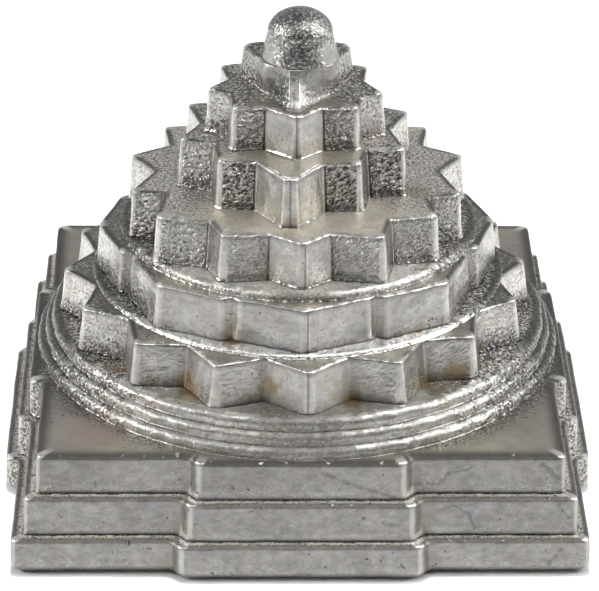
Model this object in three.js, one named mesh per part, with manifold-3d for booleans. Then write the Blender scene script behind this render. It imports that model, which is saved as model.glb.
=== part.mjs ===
import * as THREE from 'three';
import { mergeVertices } from 'three/addons/utils/BufferGeometryUtils.js';
import Module from 'manifold-3d';

// A small cast shri yantra in its raised, meru form: square steps, round plates, petal and
// star tiers, a triangle and the bindu dome, stacked on one tie rod.
// Millimetres, +Z up, the front point of every star towards -Y, the origin on the floor.

// Square base steps, from the floor up
const BASE_HALF_WIDTH = 20;
const STEP_COUNT = 3;
const STEP_RISE = 2.77;
const STEP_SETBACK = 0.88;
const GATE_HALF_WIDTH = 8.25;
const GATE_SETBACK = 0.6;
const GATE_PROJECTION = 0.95;
const GATE_FLANK = 0.6;

// Round plates on the base, from the widest up
const ROUND_PLATE_RADII = [18.7, 18.15, 17.65];
const ROUND_PLATE_RISE = 0.865;

// Petal and star tiers: tip and valley radii, rise, turn about the axis and sideways shift
const SIXTEEN_PETALS = { points: 16, tip: 16.5, valley: 14.6, rise: 3.07, turn: 2.5, shift: -0.19 };
const LOWER_LEDGE = { radius: 14.62, rise: 0.33 };
const EIGHT_PETALS = { points: 8, tip: 14.05, valley: 13, rise: 3.08, turn: 1.5, shift: -0.11 };
const UPPER_LEDGE = { radius: 12.65, rise: 0.6 };
const FOURTEEN_POINTS = { points: 14, tip: 12.1, valley: 10.15, rise: 3.37, turn: 0, shift: -0.09 };
const TEN_POINTS = { points: 10, tip: 8.35, valley: 6.7, rise: 3.55, turn: -3.9, shift: -0.3 };
const EIGHT_POINTS = { points: 8, tip: 6.15, valley: 4.85, rise: 3.1, turn: -1.4, shift: -0.27 };

// Corners that the casting left out of true: corner number, degrees off and reach off. Corner 0
// is the front tip, odd corners are valleys, and the count runs round by the right.
const FOURTEEN_POINTS_OFF = [
  [0, 1, -0.4],
  [1, -1.5, 0.3],
  [2, 2.5, 0],
  [4, 1.5, -0.2],
  [6, -5, -0.2],
  [22, 3, 0],
  [23, -4, 0],
  [24, -1.5, 0.2],
  [25, 2, 0.2],
  [26, -1, -0.4],
  [27, 2, 0.3],
];
const TEN_POINTS_OFF = [
  [0, 1, 0.75],
  [1, 1.5, 0.1],
  [2, 2.5, -0.6],
  [3, -1, -0.2],
  [4, -5, 0.1],
  [6, 2.5, 0],
  [14, -4, 0],
  [16, 1.5, 0],
  [17, -2, -0.15],
  [18, -2, -0.4],
  [19, -1.5, 0.1],
];
const EIGHT_POINTS_OFF = [
  [0, 2, -0.65],
  [1, 2, -0.45],
  [2, 3.5, -0.45],
  [3, -3.5, 0.2],
  [4, -11, 0.05],
  [5, -11, 0],
  [6, -10, -0.15],
  [7, -5, 0],
  [9, 6, 0],
  [10, 13, 0.1],
  [11, 11, 0],
  [12, 7, 0],
  [13, -3, 0],
  [14, -1.5, -0.3],
  [15, -4, -0.45],
];

// The join between two of the eight petals: a groove and a shoulder beside it
const PETAL_GROOVE_DEPTH = 0.25;
const PETAL_SHOULDER = 0.33;
const PETAL_JOIN_ANGLE = 2.6;

// Triangle tier: flat sides with blunt corners, bulged by a round boss under the dome
const TRIANGLE_INRADIUS = 2.35;
const TRIANGLE_CORNER_RADIUS = 4.5;
const TRIANGLE_BOSS_RADIUS = 2.85;
const TRIANGLE_RISE = 2.3;
const BOSS_ARC_STEPS = 6;

// Bindu dome: a slightly tapered drum under a flattened cap
const DOME_FOOT_RADIUS = 2.65;
const DOME_DRUM_RADIUS = 2.3;
const DOME_DRUM_HEIGHT = 1.78;
const DOME_CAP_HEIGHT = 1.67;
const DOME_CAP_STEPS = 10;

// Casting draft at the foot of the walls, and the small bevel round the edges
const BASE_DRAFT = 0.12;
const TIER_DRAFT = 0.25;
const EDGE_BEVEL = 0.18;
const LEDGE_BEVEL = 0.1;

// Tie rod, nut and washer in the recess under the base
const ROD_RADIUS = 1;
const ROD_CHAMFER = 0.15;
const ROD_BOTTOM = 0.25;
const ROD_DEPTH_IN_DOME = 1.6;
const DOME_HOLE_RADIUS = 1.1;
const BORE_RADIUS = 1.4;
const RECESS_RADIUS = 3.2;
const RECESS_DEPTH = 2.05;
const WASHER_RADIUS = 2.5;
const WASHER_THICKNESS = 0.3;
const HARDWARE_BORE_RADIUS = 1.1;
const NUT_FLATS = 4;
const NUT_THICKNESS = 1.2;

const ROUND_STEPS = 96;
const BORE_STEPS = 24;

const wasm = await Module();
wasm.setup();

const degrees = THREE.MathUtils.degToRad;

// A point of an outline: its angle runs from the front (-Y) towards the right (+X).
function polar(angle, radius, shift = 0) {
  return new THREE.Vector2(shift + radius * Math.sin(angle), -radius * Math.cos(angle));
}

function circleOutline(radius, steps = ROUND_STEPS) {
  return Array.from({ length: steps }, (_, i) => polar((2 * Math.PI * i) / steps, radius));
}

function starOutline({ points, tip, valley, turn, shift }, cornersOff = []) {
  const off = new Map(cornersOff.map(([corner, angle, reach]) => [corner, [angle, reach]]));
  const outline = [];
  for (let i = 0; i < 2 * points; i++) {
    const [angleOff, reachOff] = off.get(i) ?? [0, 0];
    const angle = degrees(turn + angleOff) + (Math.PI * i) / points;
    outline.push(polar(angle, (i % 2 === 0 ? tip : valley) + reachOff, shift));
  }
  return outline;
}

// Eight petals in a near octagon. Each join has a groove, and a shoulder on the side that
// lies nearer to the left or right of the tier.
function petalOutline({ points, tip, valley, turn, shift }) {
  const outline = [];
  for (let i = 0; i < points; i++) {
    const tipAngle = (2 * Math.PI * i) / points;
    const joinAngle = tipAngle + Math.PI / points;
    const side = Math.sign(Math.sin(2 * joinAngle));
    const join = [
      polar(joinAngle - side * degrees(PETAL_JOIN_ANGLE), valley),
      polar(joinAngle, valley - PETAL_GROOVE_DEPTH),
      polar(joinAngle + side * degrees(PETAL_JOIN_ANGLE), valley + PETAL_SHOULDER),
    ];
    outline.push(polar(tipAngle, tip), ...(side > 0 ? join : join.reverse()));
  }
  const offset = new THREE.Vector2(shift, 0);
  const origin = new THREE.Vector2();
  return outline.map((point) => point.rotateAround(origin, degrees(turn)).add(offset));
}

// A square step with a gate standing out of the middle of each side.
function gatedSquareOutline(level) {
  const half = BASE_HALF_WIDTH - level * STEP_SETBACK;
  const gate = GATE_HALF_WIDTH - level * GATE_SETBACK;
  const side = [
    [-half, -half],
    [-gate - GATE_FLANK, -half],
    [-gate, -half - GATE_PROJECTION],
    [gate, -half - GATE_PROJECTION],
    [gate + GATE_FLANK, -half],
  ];
  const origin = new THREE.Vector2();
  return [0, 1, 2, 3].flatMap((quarter) =>
    side.map(([x, y]) => new THREE.Vector2(x, y).rotateAround(origin, (quarter * Math.PI) / 2)),
  );
}

// A triangle with blunt corners whose sides swell out to a round boss.
function triangleOutline() {
  const swell = Math.acos(TRIANGLE_INRADIUS / TRIANGLE_BOSS_RADIUS);
  const sharpCorner = TRIANGLE_INRADIUS / Math.cos(Math.PI / 3);
  const blunt = (sharpCorner - TRIANGLE_CORNER_RADIUS) * Math.tan(Math.PI / 3);
  const outline = [];
  for (let corner = 0; corner < 3; corner++) {
    const cornerAngle = (2 * Math.PI * corner) / 3;
    const origin = new THREE.Vector2();
    for (const along of [-blunt, blunt]) {
      const point = new THREE.Vector2(along, -TRIANGLE_CORNER_RADIUS);
      outline.push(point.rotateAround(origin, cornerAngle));
    }
    for (let i = 0; i <= BOSS_ARC_STEPS; i++) {
      const angle = cornerAngle + Math.PI / 3 + swell * ((2 * i) / BOSS_ARC_STEPS - 1);
      outline.push(polar(angle, TRIANGLE_BOSS_RADIUS));
    }
  }
  return outline;
}

// An outline with each edge moved outwards by a distance, or inwards if that is negative.
function offsetOutline(outline, distance) {
  const count = outline.length;
  const normal = (from, to) => new THREE.Vector2(to.y - from.y, from.x - to.x).normalize();
  return outline.map((point, i) => {
    const before = normal(outline[(i + count - 1) % count], point);
    const after = normal(point, outline[(i + 1) % count]);
    const mitre = before.clone().add(after).multiplyScalar(distance / (1 + before.dot(after)));
    return mitre.add(point);
  });
}

// A closed plate through a list of levels, each a height and an outline, bottom to top, with
// a straight bore of the given radius at the given centre.
function platedSolid(levels, boreRadius, boreCentre = 0) {
  const bore = circleOutline(boreRadius, BORE_STEPS).map((point) => point.setX(point.x + boreCentre));
  const positions = [];
  const indices = [];
  const addRing = (outline, height) => {
    const start = positions.length / 3;
    outline.forEach((point) => positions.push(point.x, point.y, height));
    return start;
  };
  const addWall = (lower, upper, count, outwards) => {
    for (let i = 0; i < count; i++) {
      const next = (i + 1) % count;
      const [a, b] = outwards ? [i, next] : [next, i];
      indices.push(lower + a, lower + b, upper + b, lower + a, upper + b, upper + a);
    }
  };
  const addCap = (outline, outlineStart, boreStart, facesUp) => {
    const faces = THREE.ShapeUtils.triangulateShape(outline, [[...bore].reverse()]);
    const vertex = (i) =>
      i < outline.length ? outlineStart + i : boreStart + bore.length - 1 - (i - outline.length);
    for (const [a, b, c] of faces) {
      indices.push(vertex(a), vertex(facesUp ? b : c), vertex(facesUp ? c : b));
    }
  };

  const rings = levels.map(({ height, outline }) => addRing(outline, height));
  const bottom = levels[0];
  const top = levels[levels.length - 1];
  const boreBottom = addRing(bore, bottom.height);
  const boreTop = addRing(bore, top.height);
  for (let i = 1; i < rings.length; i++) {
    addWall(rings[i - 1], rings[i], bottom.outline.length, true);
  }
  addWall(boreBottom, boreTop, bore.length, false);
  addCap(bottom.outline, rings[0], boreBottom, false);
  addCap(top.outline, rings[rings.length - 1], boreTop, true);

  const geometry = new THREE.BufferGeometry();
  geometry.setAttribute('position', new THREE.Float32BufferAttribute(positions, 3));
  geometry.setIndex(indices);
  return geometry;
}

// A plate with drafted walls and a bevelled top edge.
function castPlate(outline, bottom, top, { draft, bevel, boreCentre = 0 }) {
  const levels = [
    { height: bottom, outline: offsetOutline(outline, draft) },
    { height: top - bevel, outline },
    { height: top, outline: offsetOutline(outline, -bevel) },
  ];
  return platedSolid(levels, BORE_RADIUS, boreCentre);
}

// A closed turned solid about the Z axis from (radius, height) pairs.
function turnedSolid(profile, steps) {
  const points = profile.map(([radius, height]) => new THREE.Vector2(radius, height));
  const geometry = new THREE.LatheGeometry(points, steps).rotateX(Math.PI / 2);
  geometry.deleteAttribute('normal');
  geometry.deleteAttribute('uv');
  return mergeVertices(geometry);
}

function solidFromGeometry(geometry) {
  return new wasm.Manifold(
    new wasm.Mesh({
      numProp: 3,
      vertProperties: geometry.attributes.position.array,
      triVerts: new Uint32Array(geometry.index.array),
    }),
  );
}

function geometryFromSolid(solid) {
  const mesh = solid.getMesh();
  const geometry = new THREE.BufferGeometry();
  geometry.setAttribute('position', new THREE.BufferAttribute(mesh.vertProperties, 3));
  geometry.setIndex(new THREE.BufferAttribute(mesh.triVerts, 1));
  return geometry;
}

function cut(geometry, tool) {
  return geometryFromSolid(solidFromGeometry(geometry).subtract(solidFromGeometry(tool)));
}

// Finishes
const WHITE_METAL = 0xa39f97;
const STEEL = 0x8d8f92;

function castMetal() {
  return new THREE.MeshStandardMaterial({ color: WHITE_METAL, roughness: 0.42, metalness: 1 });
}

function plainSteel() {
  return new THREE.MeshStandardMaterial({ color: STEEL, roughness: 0.35, metalness: 1 });
}

const yantra = new THREE.Group();

function addPiece(name, geometry, material = castMetal()) {
  const mesh = new THREE.Mesh(geometry, material);
  mesh.name = name;
  yantra.add(mesh);
}

// The height that the stack has reached
let height = 0;

// Three square steps with their gates. The lowest has a recess for the nut and washer.
function addBaseSteps() {
  const names = ['base_step_lower', 'base_step_middle', 'base_step_upper'];
  for (let level = 0; level < STEP_COUNT; level++) {
    const outline = gatedSquareOutline(level);
    const inner = offsetOutline(outline, -BASE_DRAFT);
    const finish = { draft: BASE_DRAFT, bevel: EDGE_BEVEL };
    const step = castPlate(inner, height, height + STEP_RISE, finish);
    addPiece(names[level], level === 0 ? withNutRecess(step) : step);
    height += STEP_RISE;
  }
}

function withNutRecess(step) {
  const below = -1;
  const recess = turnedSolid(
    [
      [0, below],
      [RECESS_RADIUS, below],
      [RECESS_RADIUS, RECESS_DEPTH],
      [0, RECESS_DEPTH],
    ],
    BORE_STEPS * 2,
  );
  return cut(step, recess);
}

function addRoundPlates() {
  const names = ['round_plate_lower', 'round_plate_middle', 'round_plate_upper'];
  ROUND_PLATE_RADII.forEach((radius, i) => {
    const finish = { draft: LEDGE_BEVEL, bevel: LEDGE_BEVEL };
    addPiece(names[i], castPlate(circleOutline(radius), height, height + ROUND_PLATE_RISE, finish));
    height += ROUND_PLATE_RISE;
  });
}

function addLedge(name, { radius, rise }) {
  const finish = { draft: 0, bevel: LEDGE_BEVEL };
  addPiece(name, castPlate(circleOutline(radius), height, height + rise, finish));
  height += rise;
}

function addTier(name, tier, outline) {
  const finish = { draft: TIER_DRAFT, bevel: EDGE_BEVEL, boreCentre: tier.shift };
  addPiece(name, castPlate(outline, height, height + tier.rise, finish));
  height += tier.rise;
}

function addTriangle() {
  const finish = { draft: TIER_DRAFT, bevel: EDGE_BEVEL };
  addPiece('triangle_tier', castPlate(triangleOutline(), height, height + TRIANGLE_RISE, finish));
  height += TRIANGLE_RISE;
}

// The dome stands on the triangle and has a blind hole for the end of the rod.
function addDome() {
  const profile = [
    [0, height + ROD_DEPTH_IN_DOME],
    [DOME_HOLE_RADIUS, height + ROD_DEPTH_IN_DOME],
    [DOME_HOLE_RADIUS, height],
    [DOME_FOOT_RADIUS, height],
  ];
  const capFoot = height + DOME_DRUM_HEIGHT;
  for (let i = 0; i < DOME_CAP_STEPS; i++) {
    const angle = (Math.PI / 2) * (i / DOME_CAP_STEPS);
    const radius = DOME_DRUM_RADIUS * Math.cos(angle);
    profile.push([radius, capFoot + DOME_CAP_HEIGHT * Math.sin(angle)]);
  }
  profile.push([0, capFoot + DOME_CAP_HEIGHT]);
  addPiece('bindu_dome', turnedSolid(profile, BORE_STEPS * 2));
}

// The rod is screwed home in the dome, and its foot holds the washer and the nut.
function addTieRod() {
  const top = height + ROD_DEPTH_IN_DOME;
  const profile = [
    [0, ROD_BOTTOM],
    [ROD_RADIUS - ROD_CHAMFER, ROD_BOTTOM],
    [ROD_RADIUS, ROD_BOTTOM + ROD_CHAMFER],
    [ROD_RADIUS, top - ROD_CHAMFER],
    [ROD_RADIUS - ROD_CHAMFER, top],
    [0, top],
  ];
  addPiece('tie_rod', turnedSolid(profile, BORE_STEPS), plainSteel());
}

function addWasherAndNut() {
  const washerBottom = RECESS_DEPTH - WASHER_THICKNESS;
  const washer = [
    { height: washerBottom, outline: circleOutline(WASHER_RADIUS, BORE_STEPS * 2) },
    { height: RECESS_DEPTH, outline: circleOutline(WASHER_RADIUS, BORE_STEPS * 2) },
  ];
  addPiece('rod_washer', platedSolid(washer, HARDWARE_BORE_RADIUS), plainSteel());

  const hexagon = circleOutline(NUT_FLATS / Math.sqrt(3), 6);
  const chamfered = offsetOutline(hexagon, -ROD_CHAMFER);
  const nutBottom = washerBottom - NUT_THICKNESS;
  const nut = [
    { height: nutBottom, outline: chamfered },
    { height: nutBottom + ROD_CHAMFER, outline: hexagon },
    { height: washerBottom, outline: hexagon },
  ];
  addPiece('rod_nut', platedSolid(nut, HARDWARE_BORE_RADIUS), plainSteel());
}

addBaseSteps();
addRoundPlates();
addTier('sixteen_petal_tier', SIXTEEN_PETALS, starOutline(SIXTEEN_PETALS));
addLedge('lower_ledge_disc', LOWER_LEDGE);
addTier('eight_petal_tier', EIGHT_PETALS, petalOutline(EIGHT_PETALS));
addLedge('upper_ledge_disc', UPPER_LEDGE);
addTier('fourteen_point_tier', FOURTEEN_POINTS, starOutline(FOURTEEN_POINTS, FOURTEEN_POINTS_OFF));
addTier('ten_point_tier', TEN_POINTS, starOutline(TEN_POINTS, TEN_POINTS_OFF));
addTier('eight_point_tier', EIGHT_POINTS, starOutline(EIGHT_POINTS, EIGHT_POINTS_OFF));
addTriangle();
addDome();
addTieRod();
addWasherAndNut();

export default yantra;
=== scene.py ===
"""A small cast shri yantra in its raised, meru form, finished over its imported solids.

Metres, +Z up, the front of the object towards -Y, the origin on the floor.
"""

import math
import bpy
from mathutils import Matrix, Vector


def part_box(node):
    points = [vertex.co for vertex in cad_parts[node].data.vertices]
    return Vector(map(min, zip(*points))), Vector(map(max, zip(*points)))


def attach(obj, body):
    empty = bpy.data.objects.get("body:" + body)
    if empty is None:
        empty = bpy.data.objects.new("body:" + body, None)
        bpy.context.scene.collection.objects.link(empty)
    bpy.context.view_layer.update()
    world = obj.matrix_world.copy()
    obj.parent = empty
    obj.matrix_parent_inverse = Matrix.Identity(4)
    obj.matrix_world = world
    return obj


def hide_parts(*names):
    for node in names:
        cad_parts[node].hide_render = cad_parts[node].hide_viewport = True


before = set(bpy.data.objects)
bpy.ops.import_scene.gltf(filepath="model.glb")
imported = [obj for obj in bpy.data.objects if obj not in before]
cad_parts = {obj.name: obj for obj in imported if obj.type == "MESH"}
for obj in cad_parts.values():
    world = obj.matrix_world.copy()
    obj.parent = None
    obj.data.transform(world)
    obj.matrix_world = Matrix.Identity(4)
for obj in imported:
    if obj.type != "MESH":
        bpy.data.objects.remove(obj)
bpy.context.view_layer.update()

from types import SimpleNamespace

import bmesh
import bpy
from bpy.props import FloatProperty, FloatVectorProperty, PointerProperty
from mathutils import Matrix, Vector

bl_info = {
    "name": "Meru Shri Yantra",
    "version": (1, 0, 0),
    "blender": (4, 5, 0),
    "location": "View3D > Sidebar > Yantra",
    "description": "Builds the cast finish of a small meru shri yantra over its solids",
    "category": "Object",
}

MM = 0.001
RIGHT, BACK, UP = (1.0, 0.0, 0.0), (0.0, 1.0, 0.0), (0.0, 0.0, 1.0)

# Points closer than this are one. It also stands for no fillet where a tree divides by its size.
SEAM_GAP = 1e-7
# Edges that bend more than this are creases
CREASE_ANGLE = math.radians(55)
# The sine of the turn from which an outline's corner counts as an edge that stands out
SHARP_BEND = 0.25
# How fast a foot fillet dies away, and how much softer a valley is blurred than a point
FILLET_CURVE = 2.2
VALLEY_SOFTENING = 0.45
# Coarse strokes are wider than they are high: features per millimetre along X, Y and Z, and
# how steeply those on the right of the object rise
STROKE_SHAPE = (3.4, 3.4, 5.2)
STROKE_SLANT = 0.5
# The fine grain's features per millimetre
GRAIN_SCALE = 5.2
# How squarely a wall faces the front to be coarse, or the side to sparkle
COARSE_FACING = (0.9, 0.97)
SIDE_FACING = (0.8, 0.97)
# Where the finish changes, as the sine of the angle from the front: the flanks of the object,
# where painted shade falls, and the middle of its front, which painted shade darkens
FLANK = (0.62, 0.88)
FRONT_MIDDLE = (0.32, 0.08)
# Where it changes in millimetres: off the axis for the round tiers and for the field by the
# rings, across for the sides of the base, and back for the sides' front end and the front faces
ROUND_TIERS = (20.4, 20.0)
RINGS_FIELD = (20.6, 18.6)
BASE_SIDE = (18.3, 18.8)
BASE_FRONT = (-18.4, -17.9)
BASE_FACE = (-17.5, -17.9)
# How far from the middle of a side its gate ends, in millimetres
GATE_END = 8.1
# How rough the grittiest metal is, and the metal that is rubbed bright
GRIT_ROUGHNESS = 0.32
RUBBED_ROUGHNESS = 0.3
# How far in metres from a corner of the outline a look fades in or out: coarse grain and the
# hollow of a facet, the painted highlight strip on an edge, the painted highlight spot on a tip,
# and the grime and painted shade in a valley
COARSE_GAP = (0.06 * MM, 0.2 * MM)
HOLLOW_GAP = (0.12 * MM, 0.5 * MM)
STRIP_GAP = (0.34 * MM, 0.12 * MM)
TIP_GAP = (0.5 * MM, 0.25 * MM)
VALLEY_GAP = (1.1 * MM, 0.15 * MM)
# The corners of the triangle's outline that are its blunt back corners, and the least angle
# that each of its swollen sides takes
BACK_CORNERS = (9, 10, 18, 19)
LEAST_WAIST_ARC = math.radians(12)
# How much of the dome's top is worn off, how many lines of its profile are its hole and its
# underside, and how much farther along the profile its cast skin begins
DOME_WEAR = 0.04 * MM
DOME_INSIDE_SPANS = 3
DOME_SKIN_GAP = 0.01

# Corners that the casting left out of true: corner number, degrees off and millimetres off.
# Corner 0 is the front tip, odd corners are valleys, and the count runs round by the right.
FOURTEEN_OUT_OF_TRUE = {
    0: (1, -0.4),
    1: (-1.5, 0.3),
    2: (2.5, 0),
    4: (1.5, -0.2),
    6: (-5, -0.2),
    22: (3, 0),
    23: (-4, 0),
    24: (-1.5, 0.2),
    25: (2, 0.2),
    26: (-1, -0.4),
    27: (2, 0.3),
}
TEN_OUT_OF_TRUE = {
    0: (1, 0.75),
    1: (1.5, 0.1),
    2: (2.5, -0.6),
    3: (-1, -0.2),
    4: (-5, 0.1),
    6: (2.5, 0),
    14: (-4, 0),
    16: (1.5, 0),
    17: (-2, -0.15),
    18: (-2, -0.4),
    19: (-1.5, 0.1),
}
EIGHT_OUT_OF_TRUE = {
    0: (2, -0.65),
    1: (2, -0.45),
    2: (3.5, -0.45),
    3: (-3.5, 0.2),
    4: (-11, 0.05),
    5: (-11, 0),
    6: (-10, -0.15),
    7: (-5, 0),
    9: (6, 0),
    10: (13, 0.1),
    11: (11, 0),
    12: (7, 0),
    13: (-3, 0),
    14: (-1.5, -0.3),
    15: (-4, -0.45),
}

# Stains, each as its place and radius in millimetres: ochre tarnish, and a pinkish blush
OCHRE_SPOTS = (
    ((-7.6, -13.3, 11.0), 1.6),
    ((-2.1, -15.2, 12.0), 1.1),
    ((-12.9, -10.1, 11.5), 1.3),
    ((-4.7, -12.2, 14.6), 1.3),
    ((9.0, -12.8, 11.3), 1.2),
    ((3.6, -15.0, 11.0), 1.0),
    ((10.7, -11.3, 11.5), 1.3),
    ((13.4, -9.1, 12.0), 1.3),
    ((8.1, -10.8, 14.3), 1.0),
    ((-6.3, 0.3, 22.0), 1.8),
    ((8.1, -3.5, 21.5), 1.6),
)
BLUSH_SPOTS = (
    ((-14.4, -14.9, 8.3), 3.2),
    ((-19.2, -10.9, 5.5), 2.2),
    ((5.3, -1.5, 25.2), 1.0),
)
# Dark scratches on the fronts of the steps, each as its two ends (x, z) in millimetres
BASE_SCRATCHES = (
    ((1.5, 7.5), (3.7, 6.6)),
    ((3.7, 6.6), (6.9, 5.5)),
    ((7.5, 6.3), (9.4, 6.2)),
    ((9.4, 6.2), (10.1, 7.0)),
    ((10.1, 7.0), (11.6, 7.4)),
    ((10.5, 5.0), (11.5, 4.3)),
    ((11.5, 4.3), (11.9, 3.2)),
    ((17.6, 5.1), (18.4, 4.0)),
    ((16.5, 7.7), (17.6, 6.6)),
    ((5.6, 4.1), (6.6, 4.0)),
    ((17.1, 1.0), (17.9, 2.0)),
)
# Where tiers are smooth, the dome's smooth cheeks also brightened by painted light, and where
# painted shade darkens them, as places and radii in millimetres
TRIANGLE_CHEEKS = (((-2.4, -1.5, 29.5), 1.5), ((2.3, -1.5, 29.5), 1.5))
DOME_CHEEKS = (((-2.1, -1.6, 30.8), 1.6), ((2.1, -1.6, 30.6), 1.4))
PETAL_SHADES = (((-12.3, -5.4, 16.4), 2.6), ((12.2, -4.6, 16.4), 2.4))
STAR_SHADES = (((-1.3, -5.4, 26.6), 1.5), ((4.0, -9.6, 19.7), 1.8))
TRIANGLE_SHADES = (((-1.8, -3.2, 28.6), 1.7),)
DOME_SHADES = (((-0.7, -0.4, 33.5), 2.4), ((0.0, -2.3, 31.6), 1.3))

# The pool of light on the floor: its radius, its centre behind the object and its lamp's height
POOL_RADIUS, POOL_CENTRE, POOL_HEIGHT = 0.095, (0.002, 0.045), 0.6
# Half the width of the floor, and how far it lies under the object
FLOOR_HALF_WIDTH, FLOOR_DROP = 0.6, 0.00002
# The two side lights are squares of this width, and all soft lights are aimed at one point
SOFTBOX_WIDTH = 0.09
LIGHT_AIM = Vector((0, 0, 0.02))


def length(name, description, millimetres):
    """A length that a user can change, kept in metres."""
    return FloatProperty(
        name=name, description=description, default=millimetres * MM, unit="LENGTH", precision=5
    )


def colour(name, description, value):
    """A colour that a user can change."""
    return FloatVectorProperty(
        name=name, description=description, default=value, subtype="COLOR", min=0, max=1, size=3
    )


def share(name, description, value):
    """A share from 0 to 1 that a user can change."""
    return FloatProperty(
        name=name, description=description, default=value, subtype="FACTOR", min=0, max=1
    )


def turn(name, description, degrees):
    """An angle that a user can change, kept in radians."""
    return FloatProperty(
        name=name, description=description, default=math.radians(degrees), subtype="ANGLE"
    )


def power(name, description, watts):
    """A light's power that a user can change."""
    return FloatProperty(name=name, description=description, default=watts, min=0, unit="POWER")


class YantraSizes(bpy.types.PropertyGroup):
    """Sizes of the steps, plates and tiers in plan. Their heights come from the solids."""

    base_half_width: length("Base half width", "Half the width of the lowest square step", 19.84)
    step_setback: length("Step setback", "How far each square step stands back", 0.88)
    gate_half_width: length("Gate half width", "Half the width of the lowest gate", 8.25)
    gate_setback: length("Gate setback", "How much narrower each gate's half width gets", 0.6)
    gate_projection: length("Gate projection", "How far a gate stands out of its side", 0.95)
    gate_flank: length("Gate flank", "How far a gate's slanted flank runs along the side", 0.6)
    ring_radii: FloatVectorProperty(
        name="Ring radii",
        description="Radii of the three round plates, from the widest up",
        default=(18.7 * MM, 18.15 * MM, 17.65 * MM),
        size=3,
        unit="LENGTH",
        precision=5,
    )
    sixteen_tip: length("Sixteen tip", "Reach of the sixteen petals' tips", 16.5)
    sixteen_valley: length("Sixteen valley", "Reach of the valleys between sixteen petals", 14.6)
    sixteen_turn: turn("Sixteen turn", "How far the sixteen petals are turned", 2.5)
    sixteen_shift: length("Sixteen shift", "How far the sixteen petals stand off the axis", -0.19)
    lower_ledge_radius: length("Lower ledge", "Radius of the ledge under eight petals", 14.62)
    eight_petal_tip: length("Petal tip", "Reach of the eight petals' tips", 14.05)
    eight_petal_valley: length("Petal join", "Reach of the joins between eight petals", 13)
    eight_petal_turn: turn("Petal turn", "How far the eight petals are turned", 1.5)
    eight_petal_shift: length("Petal shift", "How far the eight petals stand off the axis", -0.11)
    petal_groove: length("Petal groove", "Depth of the groove at a petal's join", 0.25)
    petal_shoulder: length("Petal shoulder", "Height of the shoulder beside a groove", 0.33)
    petal_join: turn("Petal join angle", "Half the angle that a petal's join takes", 2.6)
    blunt: length("Blunt tips", "Width of the narrow flat on each tip", 0.24)
    ten_front_blunt: length("Ten front flat", "Width of the flat on the ten points' front tip", 0.8)
    upper_ledge_radius: length("Upper ledge", "Radius of the ledge under fourteen points", 12.65)
    fourteen_tip: length("Fourteen tip", "Reach of the fourteen points", 12.1)
    fourteen_valley: length("Fourteen valley", "Reach of the fourteen valleys", 10.15)
    fourteen_shift: length("Fourteen shift", "How far fourteen points stand off the axis", -0.09)
    ten_tip: length("Ten tip", "Reach of the ten points", 8.35)
    ten_valley: length("Ten valley", "Reach of the ten valleys", 6.7)
    ten_turn: turn("Ten turn", "How far the ten points are turned", -3.9)
    ten_shift: length("Ten shift", "How far the ten points stand off the axis", -0.3)
    eight_tip: length("Eight tip", "Reach of the eight points", 6.15)
    eight_valley: length("Eight valley", "Reach of the eight valleys", 4.85)
    eight_turn: turn("Eight turn", "How far the eight points are turned", -1.4)
    eight_shift: length("Eight shift", "How far the eight points stand off the axis", -0.27)
    triangle_foot: length("Triangle foot", "Reach of the back corners at their foot", 4.5)
    triangle_top: length("Triangle top", "Reach of the back corners at their top", 4.2)
    triangle_blunt: length("Triangle blunt", "Half the width of a back corner", 0.35)
    triangle_shift: length("Triangle shift", "How far the back corners stand off the axis", -0.19)
    ridge_shift: length("Ridge shift", "How far the triangle's ridge stands off the axis", -0.44)
    ridge_foot: length("Ridge foot", "Reach of the triangle's front ridge at its foot", 4.7)
    ridge_top: length("Ridge top", "Reach of the triangle's front ridge at its top", 2.85)
    ridge_blunt: length("Ridge blunt", "Half the width of the triangle's front ridge", 0.3)
    waist_foot: length("Waist foot", "Radius of the triangle's swollen sides at the foot", 2.72)
    waist_top: length("Waist top", "Radius of the triangle's swollen sides at the top", 2.65)
    dome_foot: length("Dome foot", "Radius of the dome at its foot", 2.7)
    dome_drum: length("Dome drum", "Radius of the dome where its cap begins", 2.28)
    dome_drum_height: length("Dome drum height", "Height at which the cap begins", 1.78)
    bore_radius: length("Bore", "Radius of the bore for the tie rod", 1.4)
    dome_hole_radius: length("Dome hole", "Radius of the blind hole in the dome", 1.1)
    dome_hole_depth: length("Dome hole depth", "Depth of the blind hole in the dome", 1.6)
    recess_radius: length("Recess radius", "Radius of the recess under the base", 3.2)
    recess_depth: length("Recess depth", "Depth of the recess under the base", 2.05)


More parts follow.
